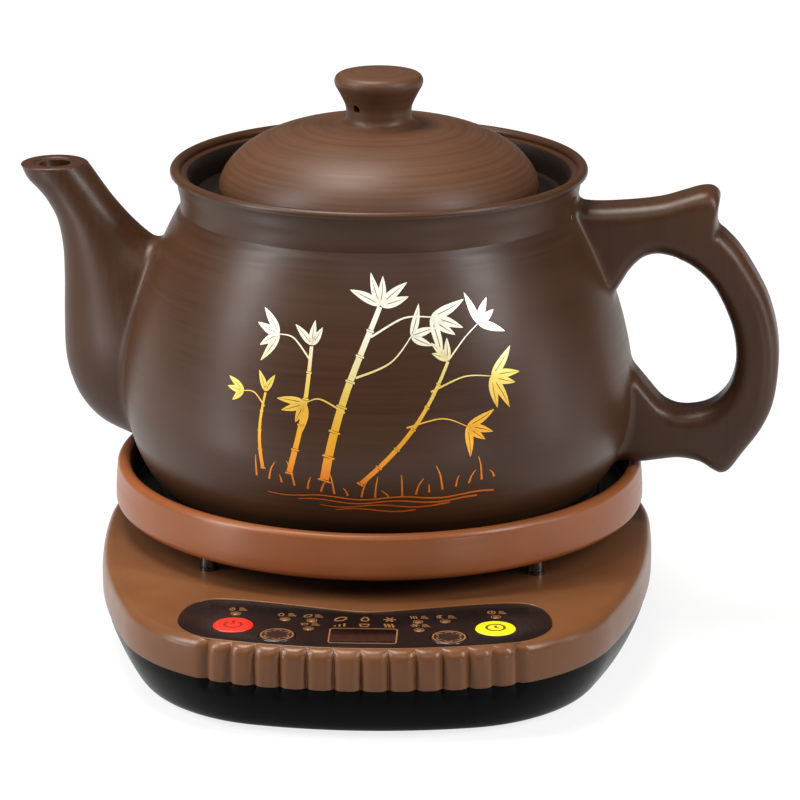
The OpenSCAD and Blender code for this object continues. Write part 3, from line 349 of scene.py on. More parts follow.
    def bump(self, heights: Iterable[tuple[Socket, float]]) -> None:
        """Raise the surface by patterns.

        Args:
            heights: Patterns, each with its height in millimetres.
        """
        normal = None
        for height, size in heights:
            below = {} if normal is None else {"Normal": normal}
            node = self.wired("ShaderNodeBump", {"Height": height, "Distance": size * MM, **below})
            normal = node.outputs["Normal"]
        if normal is not None:
            self.to_surface(normal, "Normal")


def srgb(code: str) -> Colour:
    """Turn a web colour into Blender's linear numbers.

    Args:
        code: The colour, such as 7a4e30.

    Returns:
        Its red, green and blue.
    """
    shares = [int(code[i : i + 2], 16) / 255 for i in (0, 2, 4)]
    linear = [s / 12.92 if s <= 0.04045 else ((s + 0.055) / 1.055) ** 2.4 for s in shares]
    return (linear[0], linear[1], linear[2])


class Finish:
    """A surface finish that is built once and shared by its pieces."""

    built: dict[str, bpy.types.Material] = {}
    label: str = "finish"

    def build(self, shader: Shader) -> None:
        """Add this finish's nodes.

        Args:
            shader: The material that is being made.
        """
        raise NotImplementedError

    def material(self) -> bpy.types.Material:
        """Build the Blender material on first use.

        Returns:
            The material.
        """
        if self.label not in Finish.built:
            shader = Shader(self.label)
            self.build(shader)
            Finish.built[self.label] = shader.material
        return Finish.built[self.label]


class Grain(Enum):
    """How a clay surface was worked."""

    TURNED = "turned on a wheel"
    RUBBED = "rubbed down by hand"


@dataclass(frozen=True)
class Clay(Finish):
    """Unglazed, burnished dark clay."""

    label: str = "clay"
    dark: Colour = srgb("362012")
    light: Colour = srgb("462b19")
    # Painted sheen: the lighter, redder colour blended onto sharp convex edges.
    edge: Colour = srgb("5a3620")
    roughness: Spot = (0.36, 0.42)
    grain: Grain = Grain.TURNED
    line_height: float = 0.010
    specular: float = 0.32
    # Painted shade: the colour that stands in for the shadow inside the pot's mouth, gutter and bowl and
    # under its foot.
    inside: Colour = srgb("170d07")
    # Radii in millimetres: the painted shade is full inside the first and stops at the second; (0, 0) paints
    # none.
    painted_shade_radii: Spot = (0.0, 0.0)

    def build(self, shader: Shader) -> None:
        """Add cloudy colour, work marks, a fine tooth, a painted sheen on sharp edges and painted shade near
        the axis.

        Args:
            shader: The material that is being made.
        """
        shader.set(Specular_IOR_Level=self.specular)
        place = shader.place()
        if self.grain is Grain.TURNED:
            lines = shader.noise(shader.rings(620.0), 1.0, 3.0)
        else:
            lines = shader.noise(shader.scaled(place, (520.0, 520.0, 26.0)), 1.0, 3.0)
        clouds = shader.noise(place, 16.0, 3.0)
        tooth = shader.noise(place, 2400.0, 2.0)
        tone = shader.plus(shader.times(clouds, 0.62), shader.times(lines, 0.38))
        colour = shader.ramp(tone, [(0.32, self.dark), (0.68, self.light)])
        # Painted sheen: sharp convex edges, found by their pointiness, lean towards the edge colour.
        edge_sheen = shader.add("ShaderNodeNewGeometry").outputs["Pointiness"]
        edge_sheen = shader.ranged(edge_sheen, (0.515, 0.60), (0.0, 0.75))
        colour = shader.blended(edge_sheen, colour, self.edge)
        # Painted shade: points nearer the axis than the given radii, inside the mouth and under the foot, are
        # darkened to the shade colour.
        if self.painted_shade_radii[1]:
            painted_shade = shader.ranged(shader.radius(), [MM * r for r in self.painted_shade_radii], (1.0, 0.0))
            colour = shader.blended(painted_shade, colour, self.inside)
        shader.to_surface(colour, "Base Color")
        shader.gloss(lines, self.roughness)
        shader.bump([(lines, self.line_height), (tooth, 0.006)])


@dataclass(frozen=True)
class Moulded(Finish):
    """Moulded plastic with a fine tool texture."""

    label: str = "moulded"
    colour: Colour = (0.2, 0.2, 0.2)
    shade: Colour = (0.18, 0.18, 0.18)
    roughness: Spot = (0.25, 0.33)
    tooth: float = 0.004
    coat: float = 0.0
    specular: float = 0.5
    turned_lines: bool = False

    def build(self, shader: Shader) -> None:
        """Add slight mottling, uneven gloss and a fine tooth.

        Args:
            shader: The material that is being made.
        """
        shader.set(Specular_IOR_Level=self.specular, Coat_Weight=self.coat, Coat_Roughness=0.12)
        place = shader.place()
        mottle = shader.noise(place, 38.0, 3.0)
        tooth = shader.noise(place, 1700.0, 2.0)
        shader.tint(mottle, self.shade, self.colour)
        marks = shader.noise(shader.rings(480.0), 1.0, 3.0) if self.turned_lines else mottle
        shader.gloss(marks, self.roughness)
        heights = [(tooth, self.tooth)]
        if self.turned_lines:
            heights.append((marks, 0.006))
        shader.bump(heights)


@dataclass(frozen=True)
class Metal(Finish):
    """Bare, plated or anodised metal with rubbing marks."""

    label: str = "metal"
    colour: Colour = (0.6, 0.6, 0.62)
    shade: Colour = (0.5, 0.5, 0.52)
    roughness: Spot = (0.2, 0.35)
    turned_lines: bool = False
    line_height: float = 0.004

    def build(self, shader: Shader) -> None:
        """Add brushed or turned lines to colour, gloss and height.

        Args:
            shader: The material that is being made.
        """
        shader.set(Metallic=1.0)
        place = shader.place()
        if self.turned_lines:
            lines = shader.noise(shader.rings(900.0), 1.0, 3.0)
        else:
            lines = shader.noise(shader.scaled(place, (900.0, 900.0, 70.0)), 1.0, 3.0)
        shader.tint(lines, self.shade, self.colour)
        shader.gloss(lines, self.roughness)
        shader.bump([(lines, self.line_height)])


@dataclass(frozen=True)
class FiredPrint(Finish):
    """Metallic print that runs from deep orange at its foot to pale gold at its top."""

    label: str = "fired_print"
    low: float = 78.0
    high: float = 166.0

    def build(self, shader: Shader) -> None:
        """Add the change of colour with height and a slight sparkle.

        Args:
            shader: The material that is being made.
        """
        shader.set(Metallic=0.35, Specular_IOR_Level=0.5)
        place = shader.place()
        height = shader.ranged(shader.level(), (self.low * MM, self.high * MM), (0.0, 1.0))
        wander = shader.times(shader.noise(place, 60.0, 2.0), 0.16)
        stops = [
            (0.06, srgb("c8540c")),
            (0.24, srgb("f0851a")),
            (0.46, srgb("f8b52c")),
            (0.68, srgb("f8dc70")),
            (0.88, srgb("fffbe6")),
        ]
        colour = shader.ramp(shader.plus(height, wander), stops)
        shader.to_surface(colour, "Base Color")
        shader.gloss(shader.noise(place, 900.0), (0.3, 0.45))


@dataclass(frozen=True)
class Board(Finish):
    """Printed circuit board with solder mask over copper tracks."""

    label: str = "board"
    mask: Colour = srgb("1c5a34")
    track: Colour = srgb("2c7a48")

    def build(self, shader: Shader) -> None:
        """Add a pattern of tracks that stand slightly proud.

        Args:
            shader: The material that is being made.
        """
        shader.set(Specular_IOR_Level=0.5)
        place = shader.place()
        sockets = {"Vector": place, "Scale": 240.0}
        cells = shader.wired("ShaderNodeTexVoronoi", sockets, feature="DISTANCE_TO_EDGE")
        tracks = shader.ranged(cells.outputs["Distance"], (0.05, 0.11), (1.0, 0.0))
        shader.to_surface(shader.blended(tracks, self.mask, self.track), "Base Color")
        shader.gloss(shader.noise(place, 90.0), (0.25, 0.4))
        shader.bump([(tracks, 0.035)])


@dataclass(frozen=True)
class Fibre(Finish):
    """Pressed ceramic fibre or mica."""

    label: str = "fibre"
    colour: Colour = srgb("e0dccf")
    shade: Colour = srgb("c4beae")

    def build(self, shader: Shader) -> None:
        """Add matted strands.

        Args:
            shader: The material that is being made.
        """
        shader.set(Specular_IOR_Level=0.25)
        strands = shader.noise(shader.scaled(shader.place(), (300.0, 900.0, 300.0)), 1.0, 5.0)
        shader.tint(strands, self.shade, self.colour)
        shader.gloss(strands, (0.75, 0.95))
        shader.bump([(strands, 0.12)])


@dataclass(frozen=True)
class Smoked(Finish):
    """Dark tinted window over a display."""

    label: str = "smoked"
    colour: Colour = srgb("241515")

    def build(self, shader: Shader) -> None:
        """Add a deep clear gloss with faint cells under it.

        Args:
            shader: The material that is being made.
        """
        shader.set(Specular_IOR_Level=0.6, Coat_Weight=0.8, Coat_Roughness=0.05)
        place = shader.place()
        cells = shader.noise(shader.scaled(place, (500.0, 120.0, 1.0)), 1.0, 1.0)
        deeper = tuple(0.6 * c for c in self.colour)
        shader.tint(cells, deeper, self.colour, (0.4, 0.6))
        shader.gloss(shader.noise(place, 50.0), (0.08, 0.16))


@dataclass(frozen=True)
class PaleFloor(Finish):
    """Studio paper that looks white, keeps its shadows and throws little light back."""

    label: str = "pale_floor"
    colour: Colour = (0.2, 0.2, 0.2)
    near: Spot = (0.35, 0.80)
    far: Spot = (1.3, 0.97)
    front: Spot = (-1.0, -0.45)

    def build(self, shader: Shader) -> None:
        """Add an even matte colour and a glow for the rays that look at it. The glow is painted light: weaker
        near the object, full far off where the lamps leave the paper dim, and gone in front, which darkens
        the floor the pot reflects.

        Args:
            shader: The material that is being made.
        """
        shader.set(Base_Color=self.colour, Roughness=0.9, Specular_IOR_Level=0.0)
        shader.set(Emission_Color=(1.0, 1.0, 1.0))
        path = shader.add("ShaderNodeLightPath")
        seen = shader.plus(path.outputs["Is Camera Ray"], path.outputs["Is Glossy Ray"])
        seen = shader.plus(seen, path.outputs["Is Transmission Ray"])
        place = shader.place()
        # Painted light: the glow grows with distance from the object and fades out towards the front.
        glow = shader.ranged(shader.length(place), *zip(self.near, self.far))
        parts = shader.wired("ShaderNodeSeparateXYZ", {0: place})
        behind = shader.ranged(parts.outputs["Y"], self.front, (0.0, 1.0))
        shader.to_surface(shader.times(shader.times(seen, glow), behind), "Emission Strength")


def plastic(
    label: str, colour: str, shade: str, roughness: Spot = (0.25, 0.33), **more: object
) -> Moulded:
    """Return a moulded finish from two web colours."""
    return Moulded(label=label, colour=srgb(colour), shade=srgb(shade), roughness=roughness, **more)


def bare_metal(
    label: str, colour: str, shade: str, roughness: Spot = (0.2, 0.35), **more: object
) -> Metal:
    """Return a metal finish from two web colours."""
    return Metal(label=label, colour=srgb(colour), shade=srgb(shade), roughness=roughness, **more)


# The body's clay paints shade on everything within 82 to 84 mm of the axis: the pot's inside and the middle
# of its foot.
CLAY = Clay(label="turned_clay", painted_shade_radii=(82.0, 84.0))
CLAY_HAND = Clay(label="rubbed_clay", grain=Grain.RUBBED, line_height=0.012)
CLAY_LID = Clay(
    label="lid_clay", dark=srgb("42281a"), light=srgb("583a26"), edge=srgb("6a4630"), roughness=(0.42, 0.5)
)
COVER = plastic("cover_brown", "70472a", "674025", (0.28, 0.36), specular=0.32)
COLLAR = plastic("collar_brown", "8a4d27", "814722", (0.30, 0.38), specular=0.4, turned_lines=True)
SHELL = plastic("shell_black", "060606", "040404", (0.24, 0.32), tooth=0.003, specular=0.04)
PANEL = plastic("panel_black", "1c1414", "150f0f", (0.22, 0.32), tooth=0.006, specular=0.25)
RED = plastic("key_red", "f62a18", "ea2413", (0.35, 0.45))
YELLOW = plastic("key_yellow", "f8e012", "f0d60c", (0.35, 0.45))
BLACK_KEY = plastic("key_black", "241a1a", "1b1414", (0.26, 0.36), coat=0.3)
BRONZE_INK = plastic("ink_bronze", "8e6238", "7e5530", (0.4, 0.5), tooth=0.002)
DARK_INK = plastic("ink_dark", "6a4f10", "5c430c", (0.4, 0.5), tooth=0.002)
RED_INK = plastic("ink_dark_red", "8c1208", "7c0e06", (0.4, 0.5), tooth=0.002)
LAMP = plastic("lamp_amber", "8a5f36", "704a28", (0.15, 0.25), coat=0.6)
GLASS_DARK = Smoked()
PRINT = FiredPrint()
# Painted shade: the posts' nickel is toned down to a dark grey to stand in for the shadow they stand in under
# the collar.
CHROME = bare_metal("post_nickel", "77716c", "5f5a56", (0.2, 0.32), line_height=0.002)
ZINC = bare_metal("fastener_zinc", "b8bac0", "9a9ca4", (0.25, 0.4))
PLATE = bare_metal("plate_grey", "6e6e72", "5c5c60", (0.3, 0.45), turned_lines=True, line_height=0.02)
DISH = bare_metal("dish_steel", "57534f", "45413e", (0.35, 0.5), turned_lines=True)
SENSOR = bare_metal("sensor_aluminium", "c4c4c8", "aaaaae", (0.25, 0.4), turned_lines=True)
RUBBER = plastic("foot_rubber", "1a1a1a", "121212", (0.7, 0.85), tooth=0.02, specular=0.3)
PHENOLIC = plastic("phenolic_black", "161616", "0e0e0e", (0.45, 0.6), tooth=0.01)
BRASS = bare_metal("terminal_brass", "c8ae6a", "aa9050", (0.25, 0.4))
NICKEL = bare_metal("pin_nickel", "cfcac0", "b4aea2", (0.15, 0.28))

INNER_FINISHES: dict[str, Finish] = {
    "control_board": Board(),
    "power_board": Board(label="power_board_mask", mask=srgb("a47a3c"), track=srgb("b98c48")),
    "tact_switches": plastic("switch_black", "1c1c1c", "121212", (0.4, 0.55)),
    "indicator_leds": plastic("led_clear", "f0ece0", "dcd6c6", (0.15, 0.25), coat=0.6),
    "display_module": plastic("display_grey", "30323a", "24262c", (0.3, 0.45)),
    "board_screws": ZINC,
    "transformer": bare_metal("core_steel", "4a4440", "38332f", (0.45, 0.6)),
    "relay": plastic("relay_blue", "244a86", "1c3c70", (0.3, 0.42)),
    "filter_capacitor": plastic("film_yellow", "c8a028", "b08c20", (0.3, 0.42)),
    "smoothing_capacitor": plastic("sleeve_navy", "24304a", "1a2438", (0.22, 0.34), coat=0.3),
    "buzzer": plastic("buzzer_black", "181818", "101010", (0.4, 0.55)),
    "terminal_block": plastic("terminal_green", "2f7052", "265c43", (0.35, 0.5)),
    "insulation_pad": Fibre(),
    "heating_sheet": Fibre(label="mica_sheet", colour=srgb("7a6248"), shade=srgb("5c4a36")),
    "element_terminals": BRASS,
    "thermal_cutout": plastic("cutout_ceramic", "e4ded0", "d0c9ba", (0.6, 0.75), tooth=0.015),
    "sensor_spring": bare_metal("spring_steel", "a6a8ac", "8c8e92", (0.25, 0.4)),
    "heater_leads": plastic("silicone_lead", "e2e0da", "cfccc4", (0.5, 0.65), tooth=0.01),
    "case_screws": ZINC,
    "post_bolts": ZINC,
    "post_nuts": ZINC,
}


# ---- mesh making


@dataclass
class Piece:
    """One mesh of the scene and how it belongs to the object."""

    name: str
    finish: Finish
    body: str
    stands_for: tuple[str, ...] = ()
    slot: str = ""
    smooth: bool = True

    def make(self, verts: Array, faces: Faces, cutters: Sequence[Solid] = ()) -> Thing:
        """Build the mesh and attach it.

        Args:
            verts: The points, in millimetres.
            faces: The faces, as lists of point numbers.
            cutters: Closed (points, faces) solids that are taken away from it.

        Returns:
            The finished object.
        """
        made = new_object(self.name, verts, faces)
        if cutters:
            cut_away(made, cutters)
        return self.attach(made)

    def attach(self, made: Thing) -> Thing:
        """Shade an object, dress it and let it ride on its body.

        Args:
            made: The object.

        Returns:
            The same object.
        """
        tidy_normals(made, self.smooth)
        made.data.materials.clear()
        made.data.materials.append(self.finish.material())
        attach(made, self.body)
        if self.stands_for:
            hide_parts(*self.stands_for)
        LOG.info("%s: %d faces on %s", self.name, len(made.data.polygons), self.body)
        return made


def new_object(name: str, verts: Array, faces: Faces) -> Thing:
    """Add a mesh object to the scene.

    Args:
        name: The object's name.
        verts: Its points, in millimetres.
        faces: Its faces, as lists of point numbers.

    Returns:
        The object.
    """
    mesh = bpy.data.meshes.new(name)
    mesh.from_pydata([tuple(MM * float(c) for c in v) for v in verts], [], [tuple(f) for f in faces])
    mesh.validate()
    made = bpy.data.objects.new(name, mesh)
    bpy.context.scene.collection.objects.link(made)
    return made


def tidy_normals(made: Thing, smooth: bool) -> None:
    """Point the normals outwards and shade the faces.

    Args:
        made: The object.
        smooth: Whether its faces are smooth; steep edges stay crisp.
    """
    work = bmesh.new()
    work.from_mesh(made.data)
    bmesh.ops.recalc_face_normals(work, faces=work.faces)
    for face in work.faces:
        face.smooth = smooth
    for edge in work.edges:
        steep = edge.is_manifold and edge.calc_face_angle(0.0) > SHARP_ANGLE
        edge.smooth = not steep
    work.to_mesh(made.data)
    work.free()


def cut_away(made: Thing, cutters: Sequence[Solid]) -> None:
    """Take closed solids away from an object's mesh.

    Args:
        made: The object.
        cutters: The solids.
    """
    bpy.context.view_layer.update()
    for number, (verts, faces) in enumerate(cutters):
        tool = new_object(f"{made.name}_cutter_{number}", verts, faces)
        tidy_normals(tool, False)
        modifier = made.modifiers.new("cut", "BOOLEAN")
        modifier.operation = "DIFFERENCE"
        modifier.solver = "EXACT"
        modifier.object = tool
        graph = bpy.context.evaluated_depsgraph_get()
        result = bpy.data.meshes.new_from_object(made.evaluated_get(graph))
        made.modifiers.clear()
        made.data = result
        bpy.data.objects.remove(tool)


def grid_faces(rows: int, columns: int, closed: bool, first: int = 0) -> list[tuple[int, ...]]:
    """Return the quads between rows of points.

    Args:
        rows: How many rows there are.
        columns: How many points each row has.
        closed: Whether the last point of a row joins its first.
        first: The number of the first point.

    Returns:
        The faces as point numbers.
    """
    wide = columns if closed else columns - 1
    return [
        (
            first + i * columns + j,
            first + i * columns + (j + 1) % columns,
            first + (i + 1) * columns + (j + 1) % columns,
            first + (i + 1) * columns + j,
        )
        for i in range(rows - 1)
        for j in range(wide)
    ]


def skin(rings: Sequence[Array], cap_first: bool = True, cap_last: bool = True) -> Solid:
    """Join rings into a tube or solid.

    Args:
        rings: Rings of equally many points.
        cap_first: Whether the first ring is closed by a face.
        cap_last: Whether the last ring is closed by a face.

    Returns:
        The points and faces.
    """
    count = len(rings[0])
    faces = grid_faces(len(rings), count, True)
    if cap_first:
        faces.append(tuple(range(count - 1, -1, -1)))
    if cap_last:
        start = (len(rings) - 1) * count
        faces.append(tuple(range(start, start + count)))
    return np.concatenate([np.asarray(r, float) for r in rings]), faces


def lathe(
    profile: Points,
    sides: int = 160,
    closed: bool = False,
    centre: Sequence[float] = (0, 0),
) -> Solid:
    """Turn a profile about a vertical axis.

    Args:
        profile: Points as (radius, height); a radius of 0 at an end closes the piece there.
        sides: How many points go round.
        closed: Whether the last point of the profile joins its first.
        centre: Where the axis stands.

    Returns:
        The points and faces.
    """
    points = [np.array(p, float) for p in profile]
    if closed:
        points.append(points[0])
    angles = np.linspace(0, 2 * math.pi, sides, endpoint=False)
    verts: list[tuple] = []
    rows: list[list[int]] = []
    for radius, height in points[: len(points) - 1 if closed else len(points)]:
        start = len(verts)
        if radius < 1e-6:
            verts.append((centre[0], centre[1], height))
            rows.append([start])
            continue
        x, y = centre
        verts += [(x + radius * math.cos(a), y + radius * math.sin(a), height) for a in angles]
        rows.append(list(range(start, start + sides)))
    if closed:
        rows.append(rows[0])
    faces = []
    for low, high in zip(rows, rows[1:]):
        for j in range(sides):
            k = (j + 1) % sides
            if len(low) == 1 and len(high) > 1:
                faces.append((low[0], high[k], high[j]))
            elif len(high) == 1 and len(low) > 1:
                faces.append((low[j], low[k], high[0]))
            elif len(low) > 1:
                faces.append((low[j], low[k], high[k], high[j]))
    return np.array(verts), faces


def merged(*solids: Solid) -> Solid:
    """Put several solids into one.

    Args:
        solids: The solids, as (points, faces).

    Returns:
        The points and faces of all of them.
    """
    verts, faces, start = [], [], 0
    for points, polygons in solids:
        verts.append(np.asarray(points, float))
        faces += [tuple(start + i for i in polygon) for polygon in polygons]
        start += len(points)
    return np.concatenate(verts), faces


def block(low: Sequence[float], high: Sequence[float]) -> Solid:
    """Make a box.

    Args:
        low: Its lowest corner.
        high: Its highest corner.

    Returns:
        The points and faces.
    """
    (x0, y0, z0), (x1, y1, z1) = low, high
    corners = [(x, y, z) for z in (z0, z1) for y in (y0, y1) for x in (x0, x1)]
    sides = [(0, 2, 3, 1), (4, 5, 7, 6), (0, 1, 5, 4), (2, 6, 7, 3), (0, 4, 6, 2), (1, 3, 7, 5)]
    return np.array(corners, float), sides


def prism(loop: Array, low: float, high: float) -> Solid:
    """Raise a flat loop into a solid."""
    return skin([at_height(loop, z) for z in (low, high)])


def rod(centre: Sequence[float], radius: float, low: float, high: float, sides: int = 48) -> Solid:
    """Return an upright cylinder."""
    return lathe([(0, low), (radius, low), (radius, high), (0, high)], sides, centre=centre)


def rounded(made: Thing, width: float, segments: int = 3) -> Thing:
    """Round an object's steep edges.

    Args:
        made: The object.
        width: How wide the rounding is.
        segments: How many steps it has.

    Returns:
        The same object.
    """
    work = bmesh.new()
    work.from_mesh(made.data)
    steep = [e for e in work.edges if e.is_manifold and e.calc_face_angle(0.0) > SHARP_ANGLE]
    shape = {"offset": width * MM, "segments": segments, "profile": 0.5}
    bmesh.ops.bevel(work, geom=steep, affect="EDGES", clamp_overlap=True, **shape)
    work.to_mesh(made.data)
    work.free()
    return made


def ribbon(points: Points, width: float, closed: bool = False) -> Solid:
    """Draw a flat stroke.

    Args:
        points: The points it follows, in a plane.
        width: Its width.
        closed: Whether its last point joins its first.

    Returns:
        The points and faces of the drawing.
    """
    line = np.array(points, float)
    along = np.roll(line, -1, 0) - np.roll(line, 1, 0)
    if not closed:
        along[0], along[-1] = line[1] - line[0], line[-1] - line[-2]
    along /= np.linalg.norm(along, axis=1)[:, None] + 1e-12
    across = np.stack([-along[:, 1], along[:, 0]], 1) * width / 2
    rows = np.stack([line - across, line + across], 1)
    if closed:
        rows = np.concatenate([rows, rows[:1]])
    return rows.reshape(-1, 2), grid_faces(len(rows), 2, False)


def raised(flat: Solid, thickness: float, place: Callable[[Array, float], Array]) -> Solid:
    """Turn a flat drawing into a thin solid layer on a surface.

    Args:
        flat: The drawing's (points, faces) in a plane.
        thickness: How far it stands off the surface.
        place: Gives the place in space of the plane's points at a height off the surface.

    Returns:
        The points and faces of the layer.
    """
    points, faces = flat
    points = np.asarray(points, float)
    low, high = place(points, 0.0), place(points, thickness)
    count = len(points)
    edges: dict[tuple[int, int], int] = {}
    for face in faces:
        for a, b in zip(face, (*face[1:], face[0])):
            edges[(a, b)] = edges.get((a, b), 0) + 1
    walls = [(a, b, b + count, a + count) for (a, b) in edges if (b, a) not in edges]
    tops = [tuple(i + count for i in face) for face in faces]
    return np.concatenate([low, high]), [tuple(reversed(f)) for f in faces] + tops + walls


# ---- levels


@dataclass(frozen=True)
class Levels:
    """Heights of the stack, in millimetres over the floor."""

    foot: float = 2.0
    split: float = 22.8
    deck: float = 39.2
    head: float = 49.8
    dish: float = 51.6
    plate_base: float = 52.8
    pot: float = 57.5
    collar_top: float = 68.2
    ledge: float = 186.5


@dataclass(frozen=True)
class Posts:
    """Where the four posts between the base and the heating head stand."""

    circle: float = 102.6
    angles: tuple[float, ...] = (47.7, 132.3, 227.7, 312.3)

    def spots(self) -> list[Spot]:
        """Return each post's place."""
        return [(self.circle * math.cos(a), self.circle * math.sin(a)) for a in np.radians(self.angles)]


LEVELS = Levels()
POSTS = Posts()
POT_TURN = -5.0
INLET_SIZE = (27.4, 19.8)
INLET_Z = 19.4


# ---- base


@dataclass
class BasePlan:
    """Outline of the base seen from above, with its bowed and fluted front."""

    width: float = 240.4
    front: float = 173.4
    corner_w: float = 202.0
    corner_set: float = 54.0
    corner_run: float = 54.0
    corner_pull: Spot = (0.5, 0.45)
    side_pull: float = 0.46
    side_share: Spot = (0.6, 0.72)
    front_r: float = 217.0
    flutes: int = 13
    flute_pitch: float = 11.1
    flute_spread: float = 120.0
    flute_half: float = 4.4
    flute_depth: float = 2.3
    flute_sharpness: float = 2.2
    quarter_steps: int = 48
    corner_steps: int = 90
    front_steps: int = 180

    def front_edge(self, x: float) -> float:
        """Return the front edge's y at a distance from the middle."""
        return self.front_r - self.front - math.sqrt(self.front_r**2 - x * x)

    def loop(self) -> Array:
        """Draw the outline.

        Returns:
            Its points, clockwise from the middle of the back.
        """
        corner_x, corner_y = self.corner_w / 2, self.front - self.corner_set
        half = self.width / 2
        end_x = corner_x - self.corner_run
        end = np.array([end_x, self.front_edge(end_x)])
        side = [
            (half, 0),
            (half, -self.side_pull * corner_y),
            (mix(corner_x, half, self.side_share[0]), -self.side_share[1] * corner_y),
            (corner_x, -corner_y),
        ]
        side_end = unit(np.array(side[3], float) - np.array(side[2], float))
        front_start = unit(np.array([end[1] - (self.front_r - self.front), -end_x]))
        corner = [
            side[3],
            np.array(side[3]) + self.corner_pull[0] * self.corner_run * side_end,
            end - self.corner_pull[1] * self.corner_run * front_start,
            end,
        ]
        turns = np.linspace(0, math.pi / 2, self.quarter_steps + 1)[:-1]
        back = [half * np.array([math.sin(a), math.cos(a)]) for a in turns]
        across = np.linspace(end_x, 0, self.front_steps + 1)
        front = [np.array([x, self.front_edge(x)]) for x in across]
        curves = bezier(side, self.quarter_steps) + bezier(corner, self.corner_steps)
        return both_sides(back + curves + front)

    def flute(self, points: Array) -> Array:
        """Measure the grooves of the front.

        Args:
            points: Points of the outline.

        Returns:
            How deep the grooves cut at each of them.
        """
        depth = np.zeros(len(points))
        in_front = points[:, 1] < -self.front / 2
        for number in range(self.flutes):
            turn = (number - (self.flutes - 1) / 2) * self.flute_pitch / self.flute_spread
            off = np.abs(points[:, 0] - self.flute_spread * math.sin(turn)) / self.flute_half
            cut = self.flute_depth * np.clip(1 - off, 0, 1) ** self.flute_sharpness
            depth = np.maximum(depth, np.where(in_front, cut, 0))
        return depth

    def ring(self, loop: Array, height: float, offset: float, groove: float = 0.0) -> Array:
        """Return the outline moved in at a height, its grooves at a share of their depth."""
        return at_height(inset(loop, offset + groove * self.flute(loop)), height)


@dataclass
class PanelPlan:
    """Bean-shaped outline of the control panel and where its parts stand."""

    width: float = 152.6
    low_y: float = 167.2
    crest_y: float = 112.9
    dip_y: float = 126.1
    bow: float = 217.0
    crest_share: float = 0.8
    corner_in: float = 14.0
    dip_pull: float = 10.0
    rise_pull: float = 0.72
    crest_pull: float = 11.0
    end_share: float = 0.45
    end_pulls: Spot = (13.0, 9.0)
    corner_pull: Spot = (7.5, 3.2)
    key_place: Spot = (53.2, -142.6)
    ring_place: Spot = (34.6, -153.7)
    window_place: Spot = (0.0, -153.0)
    key_lamp: float = 13.2
    ring_lamps: tuple[Spot, ...] = ((-2.0, 18.5), (-13.0, 17.5), (-12.2, 8.1))

    def low(self, x: float) -> float:
        """Return the lower edge's y at a distance from the middle."""
        return -self.low_y + self.bow - math.sqrt(self.bow**2 - x * x)

    def loop(self) -> Array:
        """Draw the outline.

        Returns:
            Its points, clockwise from the middle of the upper dip.
        """
        end_x, end_y = self.width / 2, -mix(self.crest_y, self.low_y, self.end_share)
        crest_x, crest, dip = self.crest_share * end_x, -self.crest_y, -self.dip_y
        corner_x = end_x - self.corner_in
        corner = np.array([corner_x, self.low(corner_x)])
        above, below = self.end_pulls
        rise = [(self.dip_pull, dip), (self.rise_pull * crest_x, crest)]
        turn = [(crest_x + self.crest_pull, crest), (end_x, end_y + above)]
        half = bezier([(0, dip), *rise, (crest_x, crest)], 30)
        half += bezier([(crest_x, crest), *turn, (end_x, end_y)], 28)
        half += bezier([(end_x, end_y), (end_x, end_y - below), corner + self.corner_pull, corner], 22)
        half += [np.array([x, self.low(x)]) for x in np.linspace(corner_x, 0, 25)]
        return both_sides(half)

    def lamps(self) -> list[Spot]:
        """Place the eight lamps.

        Returns:
            The places, from the key outwards on the left and then on the right.
        """
        (key_x, key_y), (ring_x, ring_y) = self.key_place, self.ring_place
        places = []
        for side in (-1, 1):
            places.append((side * key_x, key_y + self.key_lamp))
            places += [(side * (ring_x + dx), ring_y + dy) for dx, dy in self.ring_lamps]
        return places


